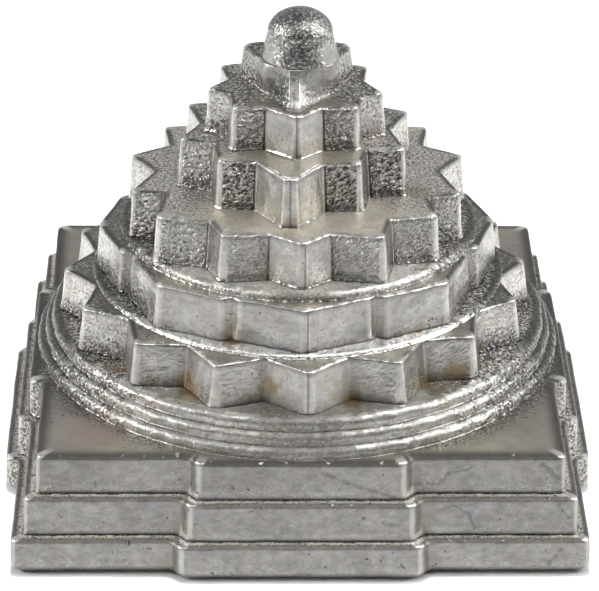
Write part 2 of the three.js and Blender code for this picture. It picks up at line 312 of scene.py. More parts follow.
class YantraFinish(bpy.types.PropertyGroup):
    """Colours and skin of the cast metal."""

    metal: colour("Metal", "Clean cast white metal", (0.615, 0.605, 0.585))
    tread_metal: colour("Tread metal", "Warmer metal of the treads", (0.8, 0.755, 0.655))
    # Also the colour of painted highlights and glints
    worn_and_lit_metal: colour("Worn metal", "Metal rubbed bright along the edges", (0.9, 0.89, 0.86))
    # Also the colour of painted shade along edges, ridges and the feet of coarse facets
    grain_and_shade_dark: colour("Grain shadow", "Dark bottoms of the casting grain", (0.11, 0.105, 0.098))
    tarnish: colour("Tarnish", "Ochre tarnish in the corners", (0.31, 0.24, 0.14))
    # Also the colour of painted shade in the valleys
    dirt_and_shade: colour("Dirt", "Brown dirt in the valleys", (0.2, 0.17, 0.13))
    blush: colour("Blush", "Pinkish stain on the base", (0.56, 0.44, 0.4))
    cool: colour("Cool cast", "The coolest hue in the metal's clouds", (0.985, 0.99, 1.0))
    warm: colour("Warm cast", "The warmest hue in the metal's clouds", (1.0, 0.975, 0.94))
    steel: colour("Steel", "Plain steel of the rod, washer and nut", (0.42, 0.42, 0.43))
    roughness: share("Roughness", "Roughness of the clean metal", 0.32)
    bump_depth: length("Bump depth", "Depth of the grain that is only shaded", 0.09)
    lump_depth: length("Lump depth", "Height of the broad unevenness of the casting", 0.15)
    grain_depth: length("Grain depth", "Depth of the fine casting grain", 0.04)
    coarse_depth: length("Coarse grain depth", "Depth of the coarse grain", 0.16)
    facet_hollow: length("Facet hollow", "How deep the middle of a facet is sunk", 0.02)
    edge_radius: length("Edge radius", "Radius of the rounded top edges", 0.2)
    foot_fillet: length("Foot fillet", "Size of the fillet at the foot of a wall", 0.16)
    bead_height: length("Bead height", "Size of the small beads along the foot of a wall", 0.05)


class YantraStage(bpy.types.PropertyGroup):
    """The floor, the lights and the camera."""

    floor: colour("Floor", "Pale floor", (0.88, 0.88, 0.88))
    side_power: power("Side lights", "Power of the two side lights", 0.34)
    strip_power: power("Strip light", "Power of the long light overhead", 0.5)
    floor_power: power("Floor light", "Power of the light that whitens the floor", 10.0)
    surround: colour("Surround", "The studio behind and to the left", (0.56, 0.56, 0.56))
    right_side: colour("Right side", "The studio to the right", (0.5, 0.5, 0.5))
    dim_front: colour("Dim front", "The studio on the camera's side", (0.06, 0.06, 0.06))
    ceiling: share("Ceiling", "How bright the studio is overhead", 0.4)
    azimuth: turn("Azimuth", "The camera's angle round the object", -1.211)
    elevation: turn("Elevation", "The camera's angle above the floor", 27.089)
    roll: turn("Roll", "How far the camera is rolled", 0.601)
    distance: length("Distance", "From the camera to the point it looks at", 271.679)
    target: FloatVectorProperty(
        name="Target",
        description="The point that the camera looks at",
        default=(0.347 * MM, 9.635 * MM, 6.458 * MM),
        size=3,
        unit="LENGTH",
        precision=6,
    )
    lens: FloatProperty(
        name="Lens",
        description="Focal length on a sensor 36 mm wide",
        default=217.23,
        unit="CAMERA",
    )


def sizes():
    return bpy.context.scene.yantra_sizes


def finish():
    return bpy.context.scene.yantra_finish


class TreeBuilder:
    """Adds nodes to a node tree and wires them."""

    def __init__(self, tree):
        self.tree = tree

    def add(self, kind, wires, output, **settings):
        node = self.tree.nodes.new(kind)
        for name, value in settings.items():
            setattr(node, name, value)
        sockets = {socket.identifier: socket for socket in node.inputs}
        for identifier, value in wires.items():
            if isinstance(value, bpy.types.NodeSocket):
                self.tree.links.new(value, sockets[identifier])
            else:
                sockets[identifier].default_value = value
        return next(socket for socket in node.outputs if socket.identifier == output)

    def math(self, operation, *values, clamp=False):
        wires = dict(zip(("Value", "Value_001"), values))
        return self.add("ShaderNodeMath", wires, "Value", operation=operation, use_clamp=clamp)

    def folded(self, operation, values, clamp):
        """One operation run over two or more values, from the left."""
        result, *others, last = values
        for value in others:
            result = self.math(operation, result, value)
        return self.math(operation, result, last, clamp=clamp)

    def times(self, *values, clamp=False):
        return self.folded("MULTIPLY", values, clamp)

    def plus(self, *values):
        return self.folded("ADD", values, False)

    def most(self, *values):
        return self.folded("MAXIMUM", values, False)

    def minus(self, a, b):
        return self.math("SUBTRACT", a, b)

    def opposite(self, value, clamp=False):
        """What is left of 1."""
        return self.math("SUBTRACT", 1.0, value, clamp=clamp)

    def ratio(self, a, b, clamp=False):
        return self.math("DIVIDE", a, b, clamp=clamp)

    def vector(self, operation, *values, output="Vector"):
        wires = dict(zip(("Vector", "Vector_001"), values))
        return self.add("ShaderNodeVectorMath", wires, output, operation=operation)

    def scaled(self, vector, factor):
        wires = {"Vector": vector, "Scale": factor}
        return self.add("ShaderNodeVectorMath", wires, "Vector", operation="SCALE")

    def along(self, vector, axis):
        """How far a vector reaches along an axis."""
        return self.vector("DOT_PRODUCT", vector, axis, output="Value")

    def distance(self, a, b):
        return self.vector("DISTANCE", a, b, output="Value")

    def ramp(self, value, start, end, low=0.0, high=1.0):
        """A smooth step from low to high as value runs from start to end."""
        wires = {"Value": value, "From Min": start, "From Max": end, "To Min": low, "To Max": high}
        return self.add("ShaderNodeMapRange", wires, "Result", interpolation_type="SMOOTHSTEP")

    def mixed(self, factor, a, b):
        wires = {"Factor_Float": factor, "A_Float": a, "B_Float": b}
        return self.add("ShaderNodeMix", wires, "Result_Float", data_type="FLOAT")

    def mixed_vector(self, factor, a, b):
        wires = {"Factor_Float": factor, "A_Vector": a, "B_Vector": b}
        return self.add("ShaderNodeMix", wires, "Result_Vector", data_type="VECTOR")

    def mixed_colour(self, factor, a, b):
        wires = {"Factor_Float": factor, "A_Color": a, "B_Color": b}
        return self.add("ShaderNodeMix", wires, "Result_Color", data_type="RGBA")

    def layered(self, base, *layers):
        """A colour with others laid over it, each given as its mask and itself."""
        for mask, layer in layers:
            base = self.mixed_colour(mask, base, layer)
        return base

    def noise(self, place, scale, detail=2.0, roughness=0.5):
        """Noise from 0 to 1 with its scale counted in features per millimetre."""
        wires = {"Vector": place, "Scale": scale, "Detail": detail, "Roughness": roughness}
        return self.add("ShaderNodeTexNoise", wires, "Fac")

    def join_xyz(self, x, y, z):
        return self.add("ShaderNodeCombineXYZ", {"X": x, "Y": y, "Z": z}, "Vector")


class ShapeTree(TreeBuilder):
    """A Geometry Nodes tree with named inputs."""

    def __init__(self, name):
        super().__init__(bpy.data.node_groups.new(name, "GeometryNodeTree"))
        self.tree.is_modifier = True
        self.entry = self.tree.nodes.new("NodeGroupInput")

    def size(self, name, kind="NodeSocketFloat"):
        self.tree.interface.new_socket(name=name, in_out="INPUT", socket_type=kind)
        return self.entry.outputs[name]

    def named(self, name, kind="FLOAT"):
        node = "GeometryNodeInputNamedAttribute"
        return self.add(node, {"Name": name}, "Attribute", data_type=kind)

    def stored(self, geometry, name, value, kind="FLOAT"):
        wires = {"Geometry": geometry, "Name": name, "Value": value}
        settings = {"data_type": kind, "domain": "POINT"}
        return self.add("GeometryNodeStoreNamedAttribute", wires, "Geometry", **settings)

    def sampled(self, geometry, value, index, kind="FLOAT"):
        wires = {"Geometry": geometry, "Value": value, "Index": index}
        return self.add("GeometryNodeSampleIndex", wires, "Value", data_type=kind, domain="POINT")

    def moved(self, geometry, **where):
        """Moves points to a Position or by an Offset."""
        return self.add("GeometryNodeSetPosition", {"Geometry": geometry, **where}, "Geometry")

    def merged(self, mesh):
        wires = {"Geometry": mesh, "Distance": SEAM_GAP}
        return self.add("GeometryNodeMergeByDistance", wires, "Geometry")

    def close(self, mesh, material):
        """Merges the seams, smooths the shading between creases and sets the material."""
        wires = {"Geometry": self.merged(mesh)}
        smooth = self.add("GeometryNodeSetShadeSmooth", wires, "Geometry")
        bend = self.add("GeometryNodeInputMeshEdgeAngle", {}, "Unsigned Angle")
        crease = self.math("GREATER_THAN", bend, CREASE_ANGLE)
        wires = {"Geometry": smooth, "Selection": crease, "Shade Smooth": False}
        creased = self.add("GeometryNodeSetShadeSmooth", wires, "Geometry", domain="EDGE")
        real = self.add("GeometryNodeRealizeInstances", {"Geometry": creased}, "Geometry")
        wires = {"Geometry": real, "Material": material}
        done = self.add("GeometryNodeSetMaterial", wires, "Geometry")
        self.tree.interface.new_socket(
            name="Mesh", in_out="OUTPUT", socket_type="NodeSocketGeometry"
        )
        self.tree.links.new(done, self.tree.nodes.new("NodeGroupOutput").inputs[0])


def stroke_place(b, place):
    """Where coarse strokes are read: squeezed upright, and slanted on the right of the object."""
    slant = b.times(b.most(b.along(place, RIGHT), 0.0), -STROKE_SLANT)
    slant = b.join_xyz(0.0, 0.0, slant)
    return b.vector("MULTIPLY", b.vector("ADD", place, slant), STROKE_SHAPE)


def cast_plate_tree():
    """A plate lofted up from an outline: wall, rounded top edge, tread, bore and recess.

    The outline is a loop of corners at the foot of the wall. Its spread attribute is each
    corner's outward mitre, climb is the way from the foot to the top in plan, convex is 1 where
    the corner stands out, hollow is 1 where it stands in, and rim is the share of the top edge's
    rounding that it gets.
    """
    b = ShapeTree("cast_plate")
    outline = b.size("Outline", "NodeSocketGeometry")
    floor = b.size("Floor Height")
    rise = b.size("Rise")
    draft = b.size("Draft")
    edge_radius = b.size("Edge Radius")
    fillet = b.size("Foot Fillet")
    foot_round = b.size("Foot Round")
    tread = b.size("Tread Share")
    hollow = b.size("Facet Hollow")
    bore_radius = b.size("Bore Radius")
    bore_centre = b.size("Bore Centre", "NodeSocketVector")
    recess_radius = b.size("Recess Radius")
    recess_depth = b.size("Recess Depth")
    around = b.size("Points Around", "NodeSocketInt")
    wall_rows = b.size("Wall Rows", "NodeSocketInt")
    edge_rows = b.size("Edge Rows", "NodeSocketInt")
    tread_rows = b.size("Tread Rows", "NodeSocketInt")
    rounding = b.size("Corner Rounding", "NodeSocketInt")
    lump_depth = b.size("Lump Depth")
    lump_scale = b.size("Lump Scale")
    grain_depth = b.size("Grain Depth")
    coarse_depth = b.size("Coarse Depth")
    coarse_front = b.size("Coarse Front Facets")
    bead_height = b.size("Bead Height")
    tread_depth = b.size("Tread Grain Depth")
    climb_curve = b.size("Climb Curve")
    cheek_height = b.size("Cheek Height")
    seed = b.size("Seed")
    material = b.size("Material", "NodeSocketMaterial")

    # The outline, resampled, with its corners rounded
    curve = b.add("GeometryNodeMeshToCurve", {"Mesh": outline}, "Curve")
    wires = {"Curve": curve, "Count": around}
    curve = b.add("GeometryNodeResampleCurve", wires, "Curve", mode="COUNT")
    place = b.add("GeometryNodeInputPosition", {}, "Position")
    wires = {"Target": outline, "Source Position": place}
    corner_gap = b.add("GeometryNodeProximity", wires, "Distance", target_element="POINTS")
    spread = b.named("spread", "FLOAT_VECTOR")
    tangent = b.add("GeometryNodeInputTangent", {}, "Tangent")
    across = b.vector("CROSS_PRODUCT", tangent, UP)
    side = b.math("SIGN", b.along(across, spread))
    curve = b.stored(curve, "corner_gap", corner_gap)
    curve = b.stored(curve, "facing", b.scaled(across, side), "FLOAT_VECTOR")
    weight = b.mixed(b.named("convex"), VALLEY_SOFTENING, 1.0)
    climb = b.named("climb", "FLOAT_VECTOR")
    for name, value in (("ring", place), ("reach", spread), ("soft_climb", climb)):
        wires = {"Value": value, "Iterations": rounding, "Weight": weight}
        soft = b.add("GeometryNodeBlurAttribute", wires, "Value", data_type="FLOAT_VECTOR")
        curve = b.stored(curve, name, soft, "FLOAT_VECTOR")

    # A grid whose columns run round the outline and whose rows run up the section
    skin_rows = b.plus(wall_rows, edge_rows, tread_rows)
    grid_rows = b.plus(skin_rows, 5.0)
    wires = {"Vertices X": b.plus(around, 1.0), "Vertices Y": grid_rows}
    grid = b.add("GeometryNodeMeshGrid", wires, "Mesh")
    index = b.add("GeometryNodeInputIndex", {}, "Index")
    column = b.math("FLOOR", b.ratio(index, grid_rows))
    row = b.minus(index, b.times(column, grid_rows))
    column = b.math("MODULO", column, around)
    row = b.math("MODULO", row, b.minus(grid_rows, 1.0))

    ring = b.sampled(curve, b.named("ring", "FLOAT_VECTOR"), column, "FLOAT_VECTOR")
    reach = b.sampled(curve, b.named("reach", "FLOAT_VECTOR"), column, "FLOAT_VECTOR")
    climb = b.sampled(curve, b.named("soft_climb", "FLOAT_VECTOR"), column, "FLOAT_VECTOR")
    facing = b.sampled(curve, b.named("facing", "FLOAT_VECTOR"), column, "FLOAT_VECTOR")
    corner_gap = b.sampled(curve, b.named("corner_gap"), column)
    convex = b.sampled(curve, b.named("convex"), column)
    in_valley = b.sampled(curve, b.named("hollow"), column)
    rim = b.sampled(curve, b.named("rim"), column)

    wall_steps = b.minus(wall_rows, 1.0)
    wall_share = b.ratio(b.minus(row, 1.0), wall_steps, clamp=True)
    arc_share = b.ratio(b.minus(row, wall_rows), edge_rows, clamp=True)
    arc = b.times(arc_share, math.pi / 2)
    past_edge = b.minus(row, b.plus(wall_rows, edge_rows))
    tread_run = b.ratio(past_edge, tread_rows, clamp=True)
    past_tread = b.minus(row, skin_rows)

    edge = b.times(edge_radius, rim)
    wall_height = b.times(wall_share, b.minus(rise, edge))
    height = b.plus(wall_height, b.times(edge, b.math("SINE", arc)))
    lean = b.times(draft, b.opposite(wall_share))
    near_foot = b.opposite(b.ratio(height, fillet), clamp=True)
    flare = b.times(fillet, b.math("POWER", near_foot, FILLET_CURVE))
    low = b.opposite(b.ratio(height, foot_round), clamp=True)
    low = b.math("SQRT", b.opposite(b.times(low, low)))
    tuck = b.times(foot_round, b.opposite(low))
    inset = b.times(edge, b.opposite(b.math("COSINE", arc)))
    offset = b.minus(b.plus(lean, flare), b.plus(inset, tuck))

    plan = b.vector("ADD", ring, b.scaled(reach, offset))
    plan = b.vector("ADD", plan, b.scaled(climb, b.math("POWER", wall_share, climb_curve)))
    outwards = b.vector("NORMALIZE", b.vector("SUBTRACT", ring, bore_centre))
    bore = b.vector("ADD", bore_centre, b.scaled(outwards, bore_radius))
    recess = b.vector("ADD", bore_centre, b.scaled(outwards, recess_radius))
    at_bore = b.math("GREATER_THAN", past_tread, 0.5)
    inwards = b.most(b.times(tread_run, tread), at_bore)
    at_mouth, at_roof = b.math("LESS_THAN", row, 0.5), b.math("GREATER_THAN", past_tread, 2.5)
    in_recess = b.most(at_mouth, at_roof)
    plan = b.mixed_vector(in_recess, b.mixed_vector(inwards, plan, bore), recess)
    under = b.math("GREATER_THAN", past_tread, 1.5)
    level = b.plus(floor, b.mixed(under, height, recess_depth))
    mesh = b.moved(grid, Position=b.vector("ADD", plan, b.join_xyz(0.0, 0.0, level)))

    # What the finish needs to know about each point
    before_bore = b.math("LESS_THAN", past_tread, 0.5)
    on_skin = b.times(b.math("GREATER_THAN", row, 0.5), before_bore)
    to_top = b.minus(rise, height)
    ahead = b.ramp(b.math("ABSOLUTE", b.along(facing, BACK)), *COARSE_FACING)
    on_wall = b.opposite(arc_share)
    on_facet = b.times(b.ramp(convex, 0.98, 0.9), on_wall)
    sideways = b.ramp(b.math("ABSOLUTE", b.along(facing, RIGHT)), *SIDE_FACING)
    lip_start, lip_end = b.times(edge_radius, 1.1), b.times(edge_radius, 0.15)
    lip = b.times(b.ramp(to_top, lip_start, lip_end), b.ramp(tread_run, 0.1, 0.0))
    for name, value in (
        ("on_skin", on_skin),
        ("on_tread", b.times(on_skin, arc_share)),
        ("coarse", b.times(ahead, coarse_front, b.ramp(corner_gap, *COARSE_GAP), on_facet)),
        ("sideways", b.times(sideways, b.ramp(tread_run, 0.5, 0.05))),
        ("side_edge", b.times(convex, b.ramp(corner_gap, *STRIP_GAP), on_wall, on_skin)),
        ("top_edge", b.times(lip, rim, on_skin)),
        ("valley", b.times(in_valley, b.ramp(corner_gap, *VALLEY_GAP), on_wall, on_skin)),
        ("tip_spot", b.times(convex, b.ramp(corner_gap, *TIP_GAP), lip, on_skin)),
        ("tread_run", tread_run),
        ("corner_gap", corner_gap),
        ("above_foot", b.ratio(height, MM)),
        ("below_top", b.ratio(to_top, MM)),
        ("arc", arc),
    ):
        mesh = b.stored(mesh, name, value)
    mesh = b.stored(mesh, "facing", facing, "FLOAT_VECTOR")

    # The cast skin: broad lumps, fine and coarse grain, sunk facets, beads and pitted treads
    seeded = b.join_xyz(seed, b.times(seed, 1.7), b.times(seed, 2.3))
    where = b.vector("ADD", b.scaled(place, 1 / MM), seeded)
    lumps = b.minus(b.noise(where, lump_scale, 1.0), 0.5)
    fine = b.minus(b.noise(where, 3.6, 2.0, 0.6), 0.5)
    rough = b.minus(b.noise(stroke_place(b, where), 0.8, 1.0), 0.55)
    above_foot, below_top = b.named("above_foot"), b.named("below_top")
    mid_facet = b.times(
        b.ramp(below_top, 0.1, 0.5),
        b.ramp(above_foot, 0.05, 0.5),
        b.ramp(b.named("corner_gap"), *HOLLOW_GAP),
    )
    cheeks = 0.0
    for cheek, radius in TRIANGLE_CHEEKS:
        gap = b.distance(b.scaled(place, 1 / MM), cheek)
        cheeks = b.most(cheeks, b.ramp(gap, radius, 0.0))
    beads = b.times(b.ramp(above_foot, 0.3, 0.0), b.ramp(b.noise(where, 2.4, 1.0), 0.4, 0.7))
    push = b.plus(
        b.times(lumps, lump_depth),
        b.times(fine, grain_depth),
        b.times(coarse_depth, b.named("coarse"), rough),
    )
    push = b.minus(push, b.times(mid_facet, hollow))
    push = b.plus(push, b.times(cheeks, cheek_height), b.times(beads, bead_height))
    pits = b.times(b.most(b.plus(rough, fine, 0.55), 0.0), tread_depth)
    dips = b.times(b.most(b.plus(lumps, 0.1), 0.0), lump_depth, 0.5)
    sink = b.times(b.plus(pits, dips), b.ramp(b.named("tread_run"), 1.0, 0.8))
    out, down = b.math("COSINE", b.named("arc")), b.math("SINE", b.named("arc"))
    down = b.times(sink, down, -1.0)
    wall_push = b.scaled(b.named("facing", "FLOAT_VECTOR"), b.times(push, out))
    shove = b.vector("ADD", wall_push, b.join_xyz(0.0, 0.0, down))
    mesh = b.moved(mesh, Offset=b.scaled(shove, b.named("on_skin")))
    b.close(mesh, material)
    return b.tree


def turned_tree():
    """A solid turned about the Z axis from a line of (radius, height) corners."""
    b = ShapeTree("turned_solid")
    profile = b.size("Profile", "NodeSocketGeometry")
    around = b.size("Points Around", "NodeSocketInt")
    rows = b.size("Rows", "NodeSocketInt")
    lump_depth = b.size("Lump Depth")
    grain_depth = b.size("Grain Depth")
    skin_from = b.size("Skin From")
    seed = b.size("Seed")
    material = b.size("Material", "NodeSocketMaterial")

    curve = b.add("GeometryNodeMeshToCurve", {"Mesh": profile}, "Curve")
    wires = {"Curve": curve, "Count": rows}
    curve = b.add("GeometryNodeResampleCurve", wires, "Curve", mode="COUNT")
    wires = {"Vertices X": b.plus(around, 1.0), "Vertices Y": rows}
    grid = b.add("GeometryNodeMeshGrid", wires, "Mesh")
    index = b.add("GeometryNodeInputIndex", {}, "Index")
    column = b.math("FLOOR", b.ratio(index, rows))
    row = b.minus(index, b.times(column, rows))
    column = b.math("MODULO", column, around)
    angle = b.times(b.ratio(column, around), 2 * math.pi)
    place = b.add("GeometryNodeInputPosition", {}, "Position")
    point = b.sampled(curve, place, row, "FLOAT_VECTOR")
    radius, height = b.along(point, RIGHT), b.along(point, UP)
    x = b.times(radius, b.math("SINE", angle))
    y = b.times(radius, b.math("COSINE", angle))
    mesh = b.moved(grid, Position=b.join_xyz(x, b.times(y, -1.0), height))
    along = b.ratio(row, b.minus(rows, 1.0))
    mesh = b.stored(mesh, "on_skin", b.math("GREATER_THAN", along, skin_from))
    where = b.vector("ADD", b.scaled(place, 1 / MM), b.join_xyz(seed, seed, seed))
    lumps = b.minus(b.noise(where, 0.55, 1.0), 0.6)
    fine = b.minus(b.noise(where, 2.6, 2.0, 0.6), 0.6)
    push = b.plus(b.times(lumps, lump_depth), b.times(fine, grain_depth))
    push = b.times(push, b.named("on_skin"))
    normal = b.add("GeometryNodeInputNormal", {}, "Normal")
    mesh = b.moved(b.merged(mesh), Offset=b.scaled(normal, push))
    b.close(mesh, material)
    return b.tree


def polar(angle, radius, shift=0.0):
    """A point of an outline: its angle runs from the front towards the right."""
    return Vector((shift + radius * math.sin(angle), -radius * math.cos(angle)))


def star_corners(points, tip, valley, turned, shift, out_of_true, blunt, front):
    """A star whose points end in narrow flats; the front point's flat may be wider."""
    corners = []
    for i in range(2 * points):
        angle_off, reach_off = out_of_true.get(i, (0, 0))
        angle = turned + math.radians(angle_off) + math.pi * i / points
        if i % 2:
            corners.append(polar(angle, valley + reach_off * MM, shift))
            continue
        reach = tip + reach_off * MM
        half = (blunt if i else front) / 2
        for step in (-half, half):
            corners.append(polar(angle + step / reach, reach - half * half / reach, shift))
    return corners


def petal_corners():
    """Eight petals in a near octagon, with a groove and a shoulder at each join."""
    s = sizes()
    points = 8
    corners = []
    for i in range(points):
        tip_angle = 2 * math.pi * i / points
        join_angle = tip_angle + math.pi / points
        side = math.copysign(1, math.sin(2 * join_angle))
        join = [
            polar(join_angle - side * s.petal_join, s.eight_petal_valley),
            polar(join_angle, s.eight_petal_valley - s.petal_groove),
            polar(join_angle + side * s.petal_join, s.eight_petal_valley + s.petal_shoulder),
        ]
        half = s.blunt / 2 / s.eight_petal_tip
        corners.extend(polar(tip_angle + step, s.eight_petal_tip) for step in (-half, half))
        corners.extend(join if side > 0 else reversed(join))
    turned = Matrix.Rotation(s.eight_petal_turn, 2)
    return [turned @ corner + Vector((s.eight_petal_shift, 0)) for corner in corners]


def gated_square_corners(level):
    """A square step with a gate standing out of the middle of each side."""
    s = sizes()
    half = s.base_half_width - level * s.step_setback
    gate = s.gate_half_width - level * s.gate_setback
    side = [
        Vector((-half, -half)),
        Vector((-gate - s.gate_flank, -half)),
        Vector((-gate, -half - s.gate_projection)),
        Vector((gate, -half - s.gate_projection)),
        Vector((gate + s.gate_flank, -half)),
    ]
    return [Matrix.Rotation(quarter * math.pi / 2, 2) @ p for quarter in range(4) for p in side]


def tangent_angle(width, reach, radius):
    """The angle at which a line from a blunt corner touches the round waist."""
    corner = math.hypot(width, reach)
    return math.atan2(width, reach) + math.acos(min(radius / corner, 1))


def triangle_corners(ridge, corner, waist):
    """A triangle in plan with a narrow front ridge, two blunt back corners and a round waist."""
    s = sizes()
    arc_steps = 6
    third = 2 * math.pi / 3
    reaches = (ridge, corner, corner)
    widths = (s.ridge_blunt, s.triangle_blunt, s.triangle_blunt)
    shifts = (s.ridge_shift, s.triangle_shift, s.triangle_shift)
    corners = []
    for number in range(3):
        around, following = third * number, (number + 1) % 3
        reach, width = reaches[number], widths[number]
        for along in (-width, width):
            corner = Matrix.Rotation(around, 2) @ Vector((along, -reach))
            corners.append(corner + Vector((shifts[number], 0)))
        middle = around + third / 2
        start = around + tangent_angle(width, reach, waist)
        start = min(start, middle - LEAST_WAIST_ARC / 2)
        end = around + third - tangent_angle(widths[following], reaches[following], waist)
        end = max(end, middle + LEAST_WAIST_ARC / 2)
        for i in range(arc_steps + 1):
            angle = start + (end - start) * i / arc_steps
            corners.append(polar(angle, waist, s.triangle_shift / 2))
    return corners


def circle_corners(radius):
    steps = 180
    return [polar(2 * math.pi * i / steps, radius) for i in range(steps)]


def linked(name, data):
    """A new object that is in the scene."""
    made = bpy.data.objects.new(name, data)
    bpy.context.scene.collection.objects.link(made)
    return made


def outline_object(name, corners, top=None, rims=None):
    """A loop of corners that carries what the plate's tree needs at each corner."""
    count = len(corners)
    top, rims = top or corners, rims or [1.0] * count
    mesh = bpy.data.meshes.new(name)
    edges = [(i, (i + 1) % count) for i in range(count)]
    mesh.from_pydata([(p.x, p.y, 0) for p in corners], edges, [])
    spreads, bulges, hollows, climbs = [], [], [], []
    for i, corner in enumerate(corners):
        before = (corner - corners[i - 1]).normalized()
        after = (corners[(i + 1) % count] - corner).normalized()
        normals = Vector((before.y, -before.x)), Vector((after.y, -after.x))
        mitre = (normals[0] + normals[1]) / (1 + normals[0].dot(normals[1]))
        spreads.append((mitre.x, mitre.y, 0))
        climbs.append((*(top[i] - corner), 0))
        bend = before.x * after.y - before.y * after.x
        bulges.append(1.0 if bend > SHARP_BEND else 0.0)
        hollows.append(1.0 if bend < -SHARP_BEND else 0.0)
    for label, vectors in (("spread", spreads), ("climb", climbs)):
        layer = mesh.attributes.new(label, "FLOAT_VECTOR", "POINT")
        layer.data.foreach_set("vector", [value for row in vectors for value in row])
    for label, values in (("convex", bulges), ("hollow", hollows), ("rim", rims)):
        layer = mesh.attributes.new(label, "FLOAT", "POINT")
        layer.data.foreach_set("value", values)
    return linked(name, mesh)


def shaped(name, source, tree, values):
    """Runs a Geometry Nodes tree on a source object and keeps the result as a plain mesh."""
    modifier = source.modifiers.new("shape", "NODES")
    modifier.node_group = tree
    identifiers = {
        item.name: item.identifier for item in tree.interface.items_tree if item.in_out == "INPUT"
    }
    for label, value in values.items():
        modifier[identifiers[label]] = value
    bpy.context.view_layer.update()
    evaluated = source.evaluated_get(bpy.context.evaluated_depsgraph_get())
    mesh = bpy.data.meshes.new_from_object(evaluated)
    source.modifiers.remove(modifier)
    bpy.data.objects.remove(source)
    mesh.name = name
    tidy = bmesh.new()
    tidy.from_mesh(mesh)
    gaps = [edge for edge in tidy.edges if not edge.is_manifold]
    if gaps:
        raise RuntimeError(f"{name} has {len(gaps)} open edges, one at {gaps[0].verts[0].co / MM}")
    if tidy.calc_volume(signed=True) < 0:
        bmesh.ops.reverse_faces(tidy, faces=tidy.faces)
        tidy.to_mesh(mesh)
    tidy.free()
    return linked(name, mesh)


def place_piece(piece, node):
    """Puts a finished piece in the object in the place of its solid."""
    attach(piece, "root")
    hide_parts(node)


def cast_plate(node, corners, material, slot, centre=0.0, top=None, rims=None, **skin):
    """One cast plate or tier in the place of a solid of the frame."""
    f, s = finish(), sizes()
    low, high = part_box(node)
    values = {
        "Floor Height": low.z,
        "Rise": high.z - low.z,
        "Draft": 0.0,
        "Edge Radius": f.edge_radius,
        "Foot Fillet": f.foot_fillet,
        "Foot Round": SEAM_GAP,
        "Tread Share": 0.35,
        "Facet Hollow": 0.0,
        "Bore Radius": s.bore_radius,
        "Bore Centre": (centre, 0.0, 0.0),
        "Recess Radius": s.bore_radius,
        "Recess Depth": 0.0,
        "Points Around": 800,
        "Wall Rows": 28,
        "Edge Rows": 4,
        "Tread Rows": 24,
        "Corner Rounding": 2,
        "Lump Depth": f.lump_depth,
        "Lump Scale": 0.5,
        "Grain Depth": f.grain_depth,
        "Coarse Depth": f.coarse_depth,
        "Coarse Front Facets": 0.0,
        "Bead Height": 0.0,
        "Tread Grain Depth": 0.02 * MM,
        "Climb Curve": 1.0,
        "Cheek Height": 0.0,
        "Seed": 1.0,
        "Material": material,
    }
    values.update(skin)
    outline = outline_object(node + "_outline", corners, top, rims)
    tree = bpy.data.node_groups.get("cast_plate") or cast_plate_tree()
    piece = shaped(node + "_cast", outline, tree, values)
    place_piece(piece, node)


def new_material(name):
    material = bpy.data.materials.new(name)
    material.use_nodes = True
    tree = material.node_tree
    tree.nodes.clear()
    return material, TreeBuilder(tree)


def attribute(b, name):
    """A number that a tree stored on each point."""
    node = b.tree.nodes.new("ShaderNodeAttribute")
    node.attribute_name = name
    return node.outputs["Fac"]


def rgb(value):
    """A colour with the alpha that a colour socket needs."""
    return (*value, 1.0)


def end_surface(b, wires):
    """Ends a material's nodes in a surface and the material output."""
    surface = b.add("ShaderNodeBsdfPrincipled", wires, "BSDF")
    out = b.tree.nodes.new("ShaderNodeOutputMaterial")
    b.tree.links.new(surface, out.inputs["Surface"])


def metal_surface(b, base, roughness, bump_height, bump_depth):
    """Ends a metal's nodes."""
    bumps = {"Strength": 1.0, "Distance": bump_depth, "Height": bump_height}
    wires = {"Base Color": base, "Roughness": roughness, "Metallic": 1.0}
    wires["Normal"] = b.add("ShaderNodeBump", bumps, "Normal")
    end_surface(b, wires)


def object_place(b):
    """The place on the object in millimetres."""
    place = b.add("ShaderNodeTexCoord", {}, "Object")
    wires = {"Vector": place, "Scale": (1 / MM, 1 / MM, 1 / MM)}
    return b.add("ShaderNodeMapping", wires, "Vector")


def stain_mask(b, place, spots):
    """1 in the middle of each ragged spot, given as its place and radius in millimetres."""
    ragged = b.minus(b.noise(place, 0.8, 3.0, 0.65), 0.5)
    mask = 0.0
    for spot, radius in spots:
        gap = b.distance(place, spot)
        gap = b.plus(gap, b.times(ragged, radius * 2.4))
        mask = b.most(mask, b.ramp(gap, radius, radius * 0.25))
    return mask


def scratch_mask(b, place, scratches):
    """1 along thin ragged lines, each given as its ends (x, z) in millimetres."""
    ragged = b.times(b.minus(b.noise(place, 2.4, 3.0, 0.6), 0.5), 0.7)
    flat = b.vector("MULTIPLY", place, (1.0, 0.0, 1.0))
    mask = 0.0
    for (start_x, start_z), (end_x, end_z) in scratches:
        run = Vector((end_x - start_x, 0.0, end_z - start_z))
        past_start = b.vector("SUBTRACT", flat, (start_x, 0.0, start_z))
        along = b.ratio(b.along(past_start, tuple(run)), run.length_squared, clamp=True)
        gap = b.distance(past_start, b.scaled(tuple(run), along))
        gap = b.plus(gap, ragged)
        mask = b.most(mask, b.ramp(gap, 0.2, 0.02))
    return mask


